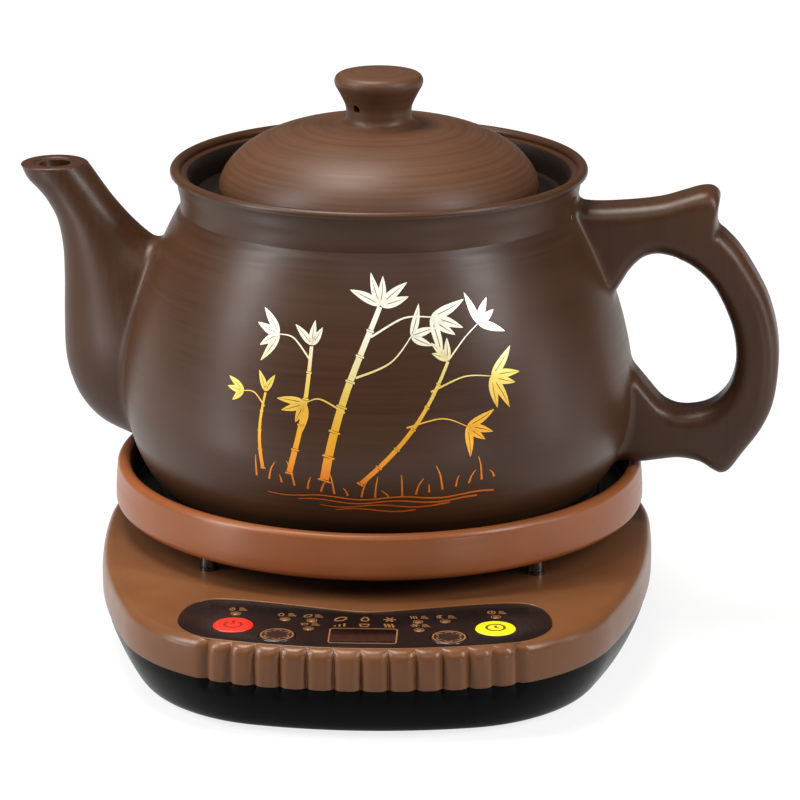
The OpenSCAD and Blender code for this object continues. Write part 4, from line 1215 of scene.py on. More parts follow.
@dataclass
class BaseShells:
    """Black bottom shell, brown top cover and feet, with recesses for the screws."""

    plan: BasePlan = field(default_factory=BasePlan)
    panel: PanelPlan = field(default_factory=PanelPlan)
    taper: float = 10.5
    deck_edge: float = 4.8
    wall: float = 2.8
    floor_t: float = 2.5
    deck_t: float = 3.0
    inlet_gap: float = 0.3
    boss_wall: float = 3.0
    recess: float = 1.6
    recess_rim: float = 2.4
    conduit_hole: float = 16.9
    post_hole: float = 2.2
    screw_head: float = 3.7
    screw_hole: float = 1.8
    foot_hole: float = 3.05
    slot_pitch: float = 7.0
    slot_size: Spot = (2.5, 26.0)
    bead_r: float = 0.5
    bead_out: float = 0.3
    screw_places: tuple[Spot, ...] = ((84, 40), (-84, 40), (84, -118), (-84, -118))
    foot_places: tuple[Spot, ...] = ((68, 66), (-68, 66), (68, -127), (-68, -127))

    def inlet_hole(self) -> Solid:
        """Place the opening for the power inlet.

        Returns:
            The solid that opens the back.
        """
        half_w, half_h = (size / 2 + self.inlet_gap for size in INLET_SIZE)
        back = self.plan.width / 2
        return block((-half_w, back - 24, INLET_Z - half_h), (half_w, back + 20, INLET_Z + half_h))

    def build_bottom(self) -> None:
        """Make the bottom shell with its foot holes, screw recesses and cooling slots."""
        loop, height = self.plan.loop(), LEVELS.split - LEVELS.foot
        sides = [(0.0, 1.0), (0.06, 0.86), (0.2, 0.66), (0.45, 0.4), (0.75, 0.17), (1.0, 0.06)]
        outer = [self.plan.ring(loop, LEVELS.foot, self.taper + 1.2)]
        for share, drawn_in in spline(sides, 4):
            level = LEVELS.foot + share * height
            groove = 0.8 * smooth_step(LEVELS.split - 6.5, LEVELS.split - 0.4, level)
            outer.append(self.plan.ring(loop, level, drawn_in * self.taper, groove))
        inner_levels = [(LEVELS.split, 0.06 * self.taper + self.wall + 1.0)]
        inner_levels += [(LEVELS.foot + 0.45 * height, 0.5 * self.taper + self.wall)]
        inner_levels += [(LEVELS.foot + self.floor_t, 0.82 * self.taper + self.wall)]
        inner = [self.plan.ring(loop, level, drawn_in) for level, drawn_in in inner_levels]
        below, above = 1, 6
        cutters = [self.inlet_hole()]
        for place in self.screw_places:
            cutters.append(rod(place, self.screw_head, below, LEVELS.foot + 1.4))
            cutters.append(rod(place, self.screw_hole, below, above))
        cutters += [rod(place, self.foot_hole, below, above) for place in self.foot_places]
        half, run = self.slot_size[0] / 2, self.slot_size[1]
        spots = [(i * self.slot_pitch, y) for i in range(-4, 5) for y in (-60, -20)]
        cutters.append(merged(*[block((x - half, y, below), (x + half, y + run, above)) for x, y in spots]))
        piece = Piece("bottom_shell_skin", SHELL, "base", ("bottom_shell",), "black_shell")
        piece.make(*skin(outer + inner), cutters)
        self.build_boss()

    def build_boss(self) -> None:
        """Make the block that holds the power inlet in the bottom shell."""
        back, half = self.plan.width / 2, INLET_SIZE[0] / 2 + self.boss_wall
        boss = block((-half, back - 20.2, LEVELS.foot + 0.5), (half, back - 1.2, LEVELS.split))
        piece = Piece("inlet_boss", SHELL, "base", slot="black_shell")
        made = new_object(piece.name, *boss)
        cut_away(made, [self.inlet_hole()])
        piece.attach(rounded(made, 0.6))

    def build_cover(self) -> None:
        """Make the top cover with its rounded deck edge, flutes and panel recess."""
        loop = self.plan.loop()
        edge = ((0.0, 0.45), (0.25, 0.1), (0.7, 0.0), (4.0, 0.0), (8.0, 0.0))
        outer = [self.plan.ring(loop, LEVELS.split + up, drawn_in, 1.0) for up, drawn_in in edge]
        for angle in np.radians(np.linspace(0, 90, 15)):
            drawn_in = 0.1 * self.deck_edge + 0.9 * self.deck_edge * (1 - math.cos(angle))
            level = LEVELS.deck - self.deck_edge * (1 - math.sin(angle))
            outer.append(self.plan.ring(loop, level, drawn_in, abs(math.cos(angle)) ** 0.7))
        under = LEVELS.deck - self.deck_t
        inner_levels = ((under, 2.6), (under - 1.5, 1.0), (LEVELS.split, 1.0))
        inner = [self.plan.ring(loop, level, self.wall + more) for level, more in inner_levels]
        bean, below, above = self.panel.loop(), under - 1, LEVELS.deck + 2
        cutters = [
            prism(bean, LEVELS.deck - self.recess, LEVELS.deck + 3),
            prism(inset(bean, self.recess_rim), below, above),
            rod((0, 0), self.conduit_hole, below, above, 96),
            self.inlet_hole(),
        ]
        cutters += [rod(spot, self.post_hole, below, above) for spot in POSTS.spots()]
        piece = Piece("top_cover_skin", COVER, "base", ("top_cover",), "brown_cover")
        piece.make(*skin(inner + outer), cutters)
        self.build_bead(bean)

    def build_bead(self, bean: Array) -> None:
        """Make the rounded lip of the cover round the panel.

        Args:
            bean: The panel's outline.
        """
        rings = []
        for angle in np.linspace(0, 2 * math.pi, 12, endpoint=False):
            moved = inset(bean, -self.bead_out - self.bead_r * math.cos(angle))
            level = LEVELS.deck - self.bead_out + self.bead_r * math.sin(angle)
            rings.append(at_height(moved, level))
        verts, faces = skin(rings + [rings[0]], False, False)
        Piece("panel_bead", COVER, "base", slot="brown_cover").make(verts, faces)

    def build_feet(self) -> None:
        """Make the four rubber feet."""
        profile = [(0, 0.35), (5.6, 0.35), (6.2, 0), (8.2, 0), (8.8, 0.3), (9, 0.9), (9, 2)]
        profile += [(3, 2), (3, 5), (0, 5)]
        feet = merged(*[lathe(profile, 40, centre=place) for place in self.foot_places])
        Piece("foot_pads", RUBBER, "base", ("rubber_feet",), "black_rubber").make(*feet)

    def build(self) -> None:
        """Make every piece of the two shells."""
        self.build_bottom()
        self.build_cover()
        self.build_feet()


class Icon(Enum):
    """Plain signs that are printed on the panel."""

    POWER = "power"
    CLOCK = "clock"
    PLUS = "plus"
    MINUS = "minus"
    DROP = "drop"
    FLAME = "flame"
    MOON = "moon"
    LEAF = "leaf"
    BARS = "bars"
    WAVES = "waves"
    CUP = "cup"
    SUN = "sun"

    def strokes(self) -> list[Sequence]:
        """Draw the sign in a square from -1 to 1.

        Returns:
            Its lines, as lists of points.
        """
        side = [(0.38, 0.42), (0.56, -0.12), (0.4, -0.62)]
        drop = [(0, 1), *side, (0, -0.82), *[(-x, y) for x, y in reversed(side)], (0, 1)]
        flame = [(0.1, 1), (0.5, 0.3), (0.55, -0.3), (0, -0.85)]
        flame += [(-0.55, -0.3), (-0.3, 0.2), (-0.1, 0), (0.1, 1)]
        foot, tip = (-0.8, -0.8), (0.8, 0.8)
        pulls = (((-0.9, 0.6), (0.2, 0.9)), ((0.6, -0.9), (0.9, 0.2)))
        wave = ((0, -0.8), (0.5, -0.3), (-0.5, 0.3), (0, 0.8))
        rays = [
            [(reach * math.cos(a), reach * math.sin(a)) for reach in (0.55, 0.95)]
            for a in np.radians(range(0, 360, 60))
        ]
        drawn = {
            Icon.POWER: [arc((0, -0.1), 0.75, 125, 415, 24), [(0, 0.05), (0, 1)]],
            Icon.CLOCK: [arc((0, 0), 0.8, 0, 360, 28), [(0, 0.5), (0, 0), (0.38, -0.16)]],
            Icon.PLUS: [[(-0.8, 0), (0.8, 0)], [(0, -0.8), (0, 0.8)]],
            Icon.MINUS: [[(-0.8, 0), (0.8, 0)]],
            Icon.DROP: [drop],
            Icon.FLAME: [flame],
            Icon.MOON: [arc((0, 0), 0.8, 60, 300, 18), arc((0.42, 0), 0.7, 92, 268, 14)],
            Icon.LEAF: [bezier([foot, *pull, tip], 12) + [tip] for pull in pulls],
            Icon.BARS: [[(x, -0.7), (x, -0.3 + 0.45 * i)] for i, x in enumerate((-0.7, 0, 0.7))],
            Icon.WAVES: [bezier([(x + dx, y) for dx, y in wave], 10) for x in (-0.55, 0, 0.55)],
            Icon.CUP: [[(-0.7, 0.4), (-0.5, -0.6), (0.5, -0.6), (0.7, 0.4), (-0.7, 0.4)]],
            Icon.SUN: [arc((0, 0), 0.32, 0, 360, 16), *rays],
        }
        return drawn[self]


@dataclass
class ControlPanel:
    """Black panel with its window, lamps, keys and print."""

    plan: PanelPlan = field(default_factory=PanelPlan)
    thickness: float = 1.6
    gap: float = 0.15
    key_d: float = 16.5
    ring_key_d: float = 14.8
    key_gap: float = 0.25
    key_proud: float = 0.3
    window: Spot = (27.0, 15.0)
    lens_d: float = 3.0
    ink: float = 0.05
    key_flange: float = 0.9

    @property
    def top(self) -> float:
        """Return the height of the panel's face."""
        return LEVELS.deck - 0.15

    def on_face(self, height: float = 0.0) -> Callable[[Array, float], Array]:
        """Return a placer that lays flat drawings on the panel, or on a key over it."""
        return lambda points, lift: at_height(points, self.top + height + lift)

    def key_spots(self) -> list[tuple[str, Spot, float, Finish, str]]:
        """List the keys.

        Returns:
            Each key's name, place, diameter, finish and slot.
        """
        (kx, ky), (rx, ry) = self.plan.key_place, self.plan.ring_place
        return [
            ("power_key", (-kx, ky), self.key_d, RED, "red_key"),
            ("timer_key", (kx, ky), self.key_d, YELLOW, "yellow_key"),
            ("minus_key", (-rx, ry), self.ring_key_d, BLACK_KEY, "black_key"),
            ("plus_key", (rx, ry), self.ring_key_d, BLACK_KEY, "black_key"),
        ]

    def window_block(self, low: float, high: float) -> Solid:
        """Return a block of the window's outline between two heights."""
        (x, y), (half_w, half_d) = self.plan.window_place, (size / 2 for size in self.window)
        return block((x - half_w, y - half_d, low), (x + half_w, y + half_d, high))

    def build_plate(self) -> None:
        """Make the panel with its holes."""
        bean, base = self.plan.loop(), LEVELS.deck - self.thickness
        steps = [(base, 0.0), (self.top - 0.35, 0.0), (self.top - 0.1, 0.1), (self.top, 0.35)]
        rings = [at_height(inset(bean, self.gap + drawn_in), level) for level, drawn_in in steps]
        below, above = base - 2, self.top + 2
        holes = [rod(place, d / 2 + self.key_gap, below, above, 64) for _, place, d, _, _ in self.key_spots()]
        holes += [rod(place, self.lens_d / 2, below, above, 32) for place in self.plan.lamps()]
        holes.append(self.window_block(below, above))
        piece = Piece("panel_face", PANEL, "base", ("control_panel",), "black_panel")
        piece.make(*skin(rings), [merged(*holes)])

    def build_window(self) -> None:
        """Make the display window."""
        piece = Piece("window_pane", GLASS_DARK, "base", ("display_window",), "smoked_window")
        pane = new_object(piece.name, *self.window_block(LEVELS.deck - self.thickness, self.top - 0.05))
        piece.attach(rounded(pane, 0.25))

    def build_lamps(self) -> None:
        """Make the domed lamp lenses."""
        r, low = self.lens_d / 2 - 0.05, LEVELS.deck - self.thickness - 0.4
        dome = [(0, low), (r, low), (r, self.top - 0.1)]
        dome += [(r * math.cos(a), self.top - 0.1 + 0.25 * math.sin(a)) for a in np.radians([25, 50, 70])]
        dome.append((0, self.top + 0.15))
        lenses = merged(*[lathe(dome, 28, centre=place) for place in self.plan.lamps()])
        Piece("lamp_lenses", LAMP, "base", ("indicator_lenses",), "amber_lens").make(*lenses)

    def build_keys(self) -> None:
        """Make the four keys with softly domed caps."""
        flange_top = LEVELS.deck - self.thickness - 0.1
        for name, place, diameter, finish, slot in self.key_spots():
            r, top = diameter / 2, LEVELS.deck + self.key_proud
            flange_r, flange_low, stem_low = r + self.key_flange, flange_top - 0.9, flange_top - 1.4
            profile = [(0, stem_low), (1.6, stem_low), (1.6, flange_low), (flange_r, flange_low)]
            profile += [(flange_r, flange_top), (r, flange_top)]
            profile += [(r, top - 0.75), (r - 0.12, top - 0.42), (r - 0.42, top - 0.2), (r - 1.0, top - 0.1)]
            profile += [(0.55 * r, top - 0.02), (0, top)]
            Piece(f"{name}_cap", finish, name, (name,), slot).make(*lathe(profile, 72, centre=place))

    def draw(self, icon: Icon, place: Spot, size: float, weight: float) -> list[Solid]:
        """Draw a sign.

        Args:
            icon: The sign.
            place: Its middle.
            size: Half its width.
            weight: How wide its strokes are.

        Returns:
            Its strokes as flat drawings.
        """
        strokes = []
        for line in icon.strokes():
            points = [(place[0] + size * x, place[1] + size * y) for x, y in line]
            strokes.append(ribbon(points, weight))
        return strokes

    def ring_print(self, place: Spot, radius: float, weight: float) -> Solid:
        """Return a printed circle."""
        return ribbon(arc(place, radius, 0, 360, 56)[:-1], weight, closed=True)

    def lamp_print(self) -> list[Solid]:
        """Draw a ring, a sign and three short bars at each lamp.

        Returns:
            The flat drawings.
        """
        lamps, weight = self.plan.lamps(), 0.5
        signs = [Icon.FLAME, Icon.DROP, Icon.LEAF, Icon.CUP, Icon.CLOCK, Icon.MOON, Icon.WAVES, Icon.SUN]
        flat = [self.ring_print(place, self.lens_d / 2 + 0.45, 0.3) for place in lamps]
        for sign, (x, y) in zip(signs, lamps):
            flat += self.draw(sign, (x - 1.9, y + 5.2), 1.9, weight)
            for row in range(3):
                level = y + 3.9 + 1.3 * row
                flat.append(ribbon([(x + 1.0, level), (x + 4.4 - 0.7 * row, level)], weight))
        return flat

    def frame_print(self) -> Solid:
        """Draw the line round the window.

        Returns:
            The flat drawing.
        """
        x, y = self.plan.window_place
        half_w, half_d, round_r = self.window[0] / 2 + 0.1, self.window[1] / 2 + 0.7, 1.6
        outline: list[Array] = []
        for quarter, (side, end) in enumerate(((1, 1), (-1, 1), (-1, -1), (1, -1))):
            centre = (x + side * (half_w - round_r), y + end * (half_d - round_r))
            outline += arc(centre, round_r, 90 * quarter, 90 * quarter + 90, 6)
        return ribbon(outline, 0.55, closed=True)

    def title_print(self) -> list[Solid]:
        """Draw the two rows of large signs over the window.

        Returns:
            The flat drawings.
        """
        x, y = self.plan.window_place
        rows = ((Icon.LEAF, Icon.DROP, Icon.SUN), (Icon.BARS, Icon.CUP, Icon.WAVES))
        level, drop, spread = y + self.window[1] / 2 + 0.7 + 10.6, 6.6, 10.0
        flat = []
        for row, icons in enumerate(rows):
            for icon, side in zip(icons, (-1, 0, 1)):
                flat += self.draw(icon, (x + side * spread, level - drop * row), 2.7, 0.85)
        return flat

    def build_print(self) -> None:
        """Print the signs on the panel and on the keys."""
        flat = [*self.lamp_print(), self.frame_print(), *self.title_print()]
        layers = [raised(drawing, self.ink, self.on_face()) for drawing in flat]
        Piece("panel_print", BRONZE_INK, "base", slot="black_panel", smooth=False).make(*merged(*layers))
        self.print_keys()

    def print_keys(self) -> None:
        """Print each key's sign on its cap."""
        signs = {
            "power_key": (Icon.POWER, 4.6, 1.4, RED_INK),
            "timer_key": (Icon.CLOCK, 4.6, 1.2, DARK_INK),
            "minus_key": (Icon.MINUS, 1.7, 0.7, BRONZE_INK),
            "plus_key": (Icon.PLUS, 1.7, 0.7, BRONZE_INK),
        }
        for name, place, diameter, _, _ in self.key_spots():
            icon, size, weight, finish = signs[name]
            flat = self.draw(icon, place, size, weight)
            lift = LEVELS.deck + self.key_proud - self.top - 0.06
            if name in ("minus_key", "plus_key"):
                flat.append(self.ring_print(place, diameter / 2 - 0.9, 0.6))
                petals = arc(place, 3.9, 30, 330, 5)
                flat += [self.ring_print(petal, 1.5, 0.45) for petal in petals]
                lift -= 0.03
            layers = [raised(drawing, 0.07, self.on_face(lift)) for drawing in flat]
            slot = "red_key" if name == "power_key" else "black_key"
            Piece(f"{name}_sign", finish, name, slot=slot, smooth=False).make(*merged(*layers))

    def build(self) -> None:
        """Make every piece of the panel."""
        self.build_plate()
        self.build_window()
        self.build_lamps()
        self.build_keys()
        self.build_print()


# ---- heating head


@dataclass
class HeatingHead:
    """Collar, dish, hot plate, sensor and the posts that carry them."""

    collar_r: float = 116.0
    collar_wall: float = 6.0
    skirt: float = 1.5
    flange_in: float = 88.0
    plate_r: float = 97.0
    hole_r: float = 9.7
    sensor_r: float = 9.2
    sensor_levels: Spot = (47.6, 58.7)
    post_r: float = 4.0
    conduit_r: float = 20.0

    def build_collar(self) -> None:
        """Make the collar with its soft upper lip."""
        r, low, top = self.collar_r, LEVELS.head, LEVELS.collar_top
        lip = self.collar_wall / 2
        inner = r - self.collar_wall
        profile = [(self.flange_in, low + 0.4), (self.flange_in + 0.4, low)]
        profile += [(r - 8.2, low), (r - 7.6, low - self.skirt + 0.4), (r - 7, low - self.skirt)]
        profile += arc((r - 3.2, low + 3.2 - self.skirt), 3.2, -90, 0, 8)
        profile += [(r - 0.1, low + 6), (r - 0.35, low + 10)]
        profile += arc((r - 0.8 - lip, top - lip), lip, 0, 180, 20)
        profile += [(inner, LEVELS.dish + 0.6), (inner - 0.6, LEVELS.dish)]
        profile += [(self.flange_in + 0.4, LEVELS.dish), (self.flange_in, LEVELS.dish - 0.4)]
        Piece("collar_ring", COLLAR, "base", ("collar",), "brown_collar").make(*lathe(profile, 224, True))

    def build_dish(self) -> None:
        """Make the steel dish with its turned-up wall."""
        r, low, top = self.collar_r - self.collar_wall - 0.6, LEVELS.dish, LEVELS.dish + 9.2
        profile = [(10.95, low), (r - 2, low)] + arc((r - 2, low + 2), 2, -90, 0, 5)
        profile += [(r, top - 0.5), (r - 0.3, top), (r - 0.9, top), (r - 1.2, top - 0.5)]
        profile += [(r - 1.2, low + 2.2), (r - 2.2, low + 1.2), (10.95, low + 1.2)]
        Piece("dish_pan", DISH, "base", ("heat_dish",), "dark_steel").make(*lathe(profile, 160, True))

    def build_plate(self) -> None:
        """Make the hot plate with shallow turned rings."""
        r, base, top = self.plate_r, LEVELS.plate_base, LEVELS.pot
        profile = [(self.hole_r, top - 1.8), (r - 2, top - 1.8), (r - 2, base), (r, base), (r, top - 1.2)]
        profile += [(r - 0.35, top - 0.35), (r - 1.2, top)]
        for number in range(12):
            centre = mix(r - 6, self.hole_r + 8, number / 11)
            profile += [(centre + 0.8, top), (centre, top - 0.25), (centre - 0.8, top)]
        profile += [(self.hole_r + 0.6, top), (self.hole_r, top - 0.5)]
        Piece("plate_face", PLATE, "base", ("hot_plate",), "plate_aluminium").make(*lathe(profile, 160, True))

    def build_sensor(self) -> None:
        """Make the sensor cap, its housing and the conduit under them."""
        r, (low, top), wall = self.sensor_r, self.sensor_levels, 1.2
        cap = [(0, top - wall), (r - wall, top - wall), (r - wall, low), (r, low), (r, top - 1.4)]
        cap += [(r - 0.4, top - 0.4), (r - 1.4, top), (3.2, top), (2.9, top - 0.2), (0, top - 0.2)]
        button = Piece("sensor_button", SENSOR, "sensor", ("sensor_cap",), "can_aluminium")
        button.make(*lathe(cap, 64))
        low, seat, high = LEVELS.dish - 9, LEVELS.dish, LEVELS.dish + 1.2
        cup = [(0, low), (10.5, low), (10.9, low + 0.4), (10.9, seat - 1), (12.3, seat - 1), (12.3, seat)]
        cup += [(10.9, seat), (10.9, high), (9.7, high), (9.7, low + 1), (0, low + 1)]
        Piece("sensor_cup", PHENOLIC, "base", ("sensor_housing",), "phenolic_black").make(*lathe(cup, 64))
        r, low, high = self.conduit_r, LEVELS.deck, LEVELS.dish
        tube = [(r - 2, low), (r - 0.4, low), (r, low + 0.4), (r, high - 0.4), (r - 0.4, high), (r - 2, high)]
        conduit = Piece("conduit_tube", PHENOLIC, "base", ("lead_conduit",), "phenolic_black")
        conduit.make(*lathe(tube, 96, True))

    def build_posts(self) -> None:
        """Make the bright posts with a step at each end."""
        low, high, r = LEVELS.deck, LEVELS.head, self.post_r
        profile = [(2, low), (r, low), (r, low + 1.2), (r - 0.35, low + 1.5), (r - 0.35, high - 1.5)]
        profile += [(r, high - 1.2), (r, high), (2, high)]
        posts = [lathe(profile, 36, True, spot) for spot in POSTS.spots()]
        Piece("post_sleeves", CHROME, "base", ("support_posts",), "bright_post").make(*merged(*posts))

    def build(self) -> None:
        """Make every piece of the heating head."""
        self.build_collar()
        self.build_dish()
        self.build_plate()
        self.build_sensor()
        self.build_posts()


@dataclass
class PowerInlet:
    """Three-pole inlet in the back of the base."""

    socket: Spot = (24.5, 17.0)
    corner: float = 4.5
    depth: float = 22.0
    socket_depth: float = 16.5
    face_y: float = 119.6
    pins: tuple[Spot, ...] = ((-7, -1), (7, -1), (0, 3))

    def build(self) -> None:
        """Make the housing and its pins."""
        w, h, back = INLET_SIZE[0] / 2, INLET_SIZE[1] / 2, self.face_y - self.depth
        body = block((-w, back, INLET_Z - h), (w, self.face_y, INLET_Z + h))
        piece = Piece("inlet_body", PHENOLIC, "base", ("inlet_housing",), "phenolic_black")
        made = new_object(piece.name, *body)
        sw, sh, c = self.socket[0] / 2, self.socket[1] / 2, self.corner
        outline = [(-sw, -sh), (sw, -sh), (sw, sh - c), (sw - c, sh), (c - sw, sh), (-sw, sh - c)]
        ends = (self.face_y - self.socket_depth, self.face_y + 2)
        cut_away(made, [skin([np.array([(x, y, INLET_Z + z) for x, z in outline]) for y in ends])])
        piece.attach(rounded(made, 0.5, 2))
        blades = Piece("inlet_blades", NICKEL, "base", ("inlet_pins",), "nickel_pin")
        solids = [
            block((x - 1, back - 5, INLET_Z + z - 2), (x + 1, self.face_y - 3, INLET_Z + z + 2))
            for x, z in self.pins
        ]
        blades.attach(rounded(new_object(blades.name, *merged(*solids)), 0.4, 2))


# ---- pot


@dataclass
class PotProfile:
    """Radii of the pot's wall by height over its foot."""

    height: float = 140.6
    belly_r: float = 111.3
    belly_h: float = 40.0
    foot_r: float = 92.2
    foot_hollow: float = 1.5
    floor: float = 6.0
    wall: float = 5.5
    neck_r: float = 85.6
    neck_drop: float = 16.1
    neck_curve: float = 23.0
    rim_r: float = 2.2
    ledge_drop: float = 11.6
    ledge_t: float = 5.0
    mouth_r: float = 61.0
    crease_soft: float = 0.6
    crease_roll: float = 0.35
    belly_bulge: float = 1.65
    shoulder_bulge: float = 1.78
    rim_in: float = 2.1

    @property
    def crease_h(self) -> float:
        """Return the height where the shoulder meets the neck."""
        return self.height - self.neck_drop - 1.8

    def neck(self, h: float) -> float:
        """Return the neck's radius at a height."""
        return self.neck_r + (h - (self.height - self.neck_drop)) ** 2 / (2 * self.neck_curve)

    def outer(self, h: float) -> float:
        """Measure the outside.

        Args:
            h: A height over the foot.

        Returns:
            The outside radius there.
        """
        if h <= self.belly_h:
            t = min(1.0, max(0.0, (h - 0.8) / (self.belly_h - 0.8)))
            bulge = (1 - (1 - t) ** self.belly_bulge) ** (1 / self.belly_bulge)
            return mix(self.foot_r + 1.2, self.belly_r, bulge)
        t = (h - self.belly_h) / (self.crease_h - self.belly_h)
        roll = self.crease_roll * smooth_step(self.crease_h - 3.4, self.crease_h - 0.2, h)
        low_neck = self.neck(self.crease_h) + self.crease_roll
        shoulder = mix(self.belly_r, low_neck, t**self.shoulder_bulge) - roll
        neck, soft = self.neck(h), self.crease_soft
        if h > self.crease_h + 4:
            return neck
        if h < self.crease_h - 4:
            return shoulder
        return mix(shoulder, neck, smooth_step(self.crease_h - soft, self.crease_h + soft, h))


@dataclass
class ClayPot:
    """Pot body with its lip, ledge, floor and strainer holes."""

    profile: PotProfile = field(default_factory=PotProfile)
    sides: int = 256
    inner_bulge: float = 1.9
    strainer_d: float = 6.0
    strainer_h: float = 46.0
    strainer_pitch: Spot = (9.0, 14.0)

    def outside(self) -> list[Sequence[float]]:
        """Draw the outside of the wall.

        Returns:
            The points from the middle of the foot to the inner side of the rim.
        """
        p = self.profile
        rim_h = p.height - p.rim_r
        foot = [(0, p.foot_hollow), (p.foot_r - 8.5, p.foot_hollow), (p.foot_r - 8, 1.1)]
        foot += [(p.foot_r - 7, 0), (p.foot_r - 0.6, 0), (p.foot_r + 0.4, 0.25)]
        levels = [*(0.8 + (p.belly_h - 0.8) * np.linspace(0, 1, 26) ** 1.7)]
        levels += [*np.linspace(p.belly_h + 1.5, p.crease_h - 4, 44)]
        levels += [*np.linspace(p.crease_h - 3.5, p.crease_h + 3.5, 29)]
        wall = [(p.outer(h), h) for h in levels]
        for h in np.linspace(p.crease_h + 4.2, rim_h - 1.4, 16):
            wall.append((p.outer(h) - 1.5 * smooth_step(rim_h - 8, rim_h, h), h))
        return foot + wall + arc((p.neck(rim_h) - p.rim_in, rim_h), p.rim_r, -18, 205, 24)

    def gutter(self) -> list[Sequence[float]]:
        """Draw the gutter and the ledge that carries the lid.

        Returns:
            The points from the rim down to the underside of the ledge.
        """
        p = self.profile
        inside, ledge = p.neck_r - p.wall, p.height - p.ledge_drop
        low, shelf = ledge - p.ledge_t, inside - 9.6
        fall = [(inside + 2.6, p.height - 3.6), (inside + 1.0, p.height - 6.5)]
        fall += [(inside, ledge + 0.6), (inside - 0.4, ledge - 1.6)]
        floor = [(inside - 1.6, ledge - 2.4), (inside - 4, ledge - 2.4), (inside - 8.6, ledge - 0.5)]
        edge = [(shelf, ledge), (p.mouth_r + 0.8, ledge), (p.mouth_r, ledge - 0.8)]
        under = [(p.mouth_r, low + 0.8), (p.mouth_r + 0.8, low), (shelf, low)]
        return spline(fall, 4) + floor + edge + under + [(inside - 3, low - 1.6), (inside, low - 3.6)]

    def hollow(self) -> list[Sequence[float]]:
        """Draw the inside of the bowl.

        Returns:
            The points from under the ledge to the middle of the floor.
        """
        p = self.profile
        floor = p.foot_hollow + p.floor
        section = [(p.outer(h) - p.wall, h) for h in np.linspace(p.crease_h - 2.4, p.belly_h, 24)]
        for share in np.linspace(1, 0, 16) ** 1.7:
            bulge = (1 - (1 - share) ** self.inner_bulge) ** (1 / self.inner_bulge)
            radius = mix(p.foot_r - 4, p.belly_r - p.wall, bulge)
            section.append((radius, mix(floor, p.belly_h, share)))
        return section + [(p.foot_r - 8, floor), (0, floor)]

    def strainer(self) -> Solid:
        """Place the holes behind the spout.

        Returns:
            The rods that pierce the wall.
        """
        angles = np.linspace(0, 2 * math.pi, 24, endpoint=False)
        ring = np.stack([np.cos(angles), np.sin(angles)], 1) * self.strainer_d / 2
        (across, up), outer = self.strainer_pitch, -self.profile.belly_r
        rods = []
        for row in range(3):
            for side in (-1, 0, 1):
                height = LEVELS.pot + self.strainer_h + row * up + (5 if side == 0 else 0)
                middle = np.column_stack([np.zeros(24), side * across + ring[:, 0], height + ring[:, 1]])
                rods.append(skin([turned(middle + [x, 0, 0], POT_TURN) for x in (outer - 1, outer + 23)]))
        return merged(*rods)

    def build(self) -> None:
        """Make the pot's body."""
        outline = self.outside() + self.gutter() + self.hollow()
        section = [(r, LEVELS.pot + h) for r, h in outline]
        piece = Piece("pot_wall", CLAY, "pot", ("pot_bowl", "pot_shoulder", "pot_neck"), "brown_clay")
        piece.make(*lathe(section, self.sides), [self.strainer()])


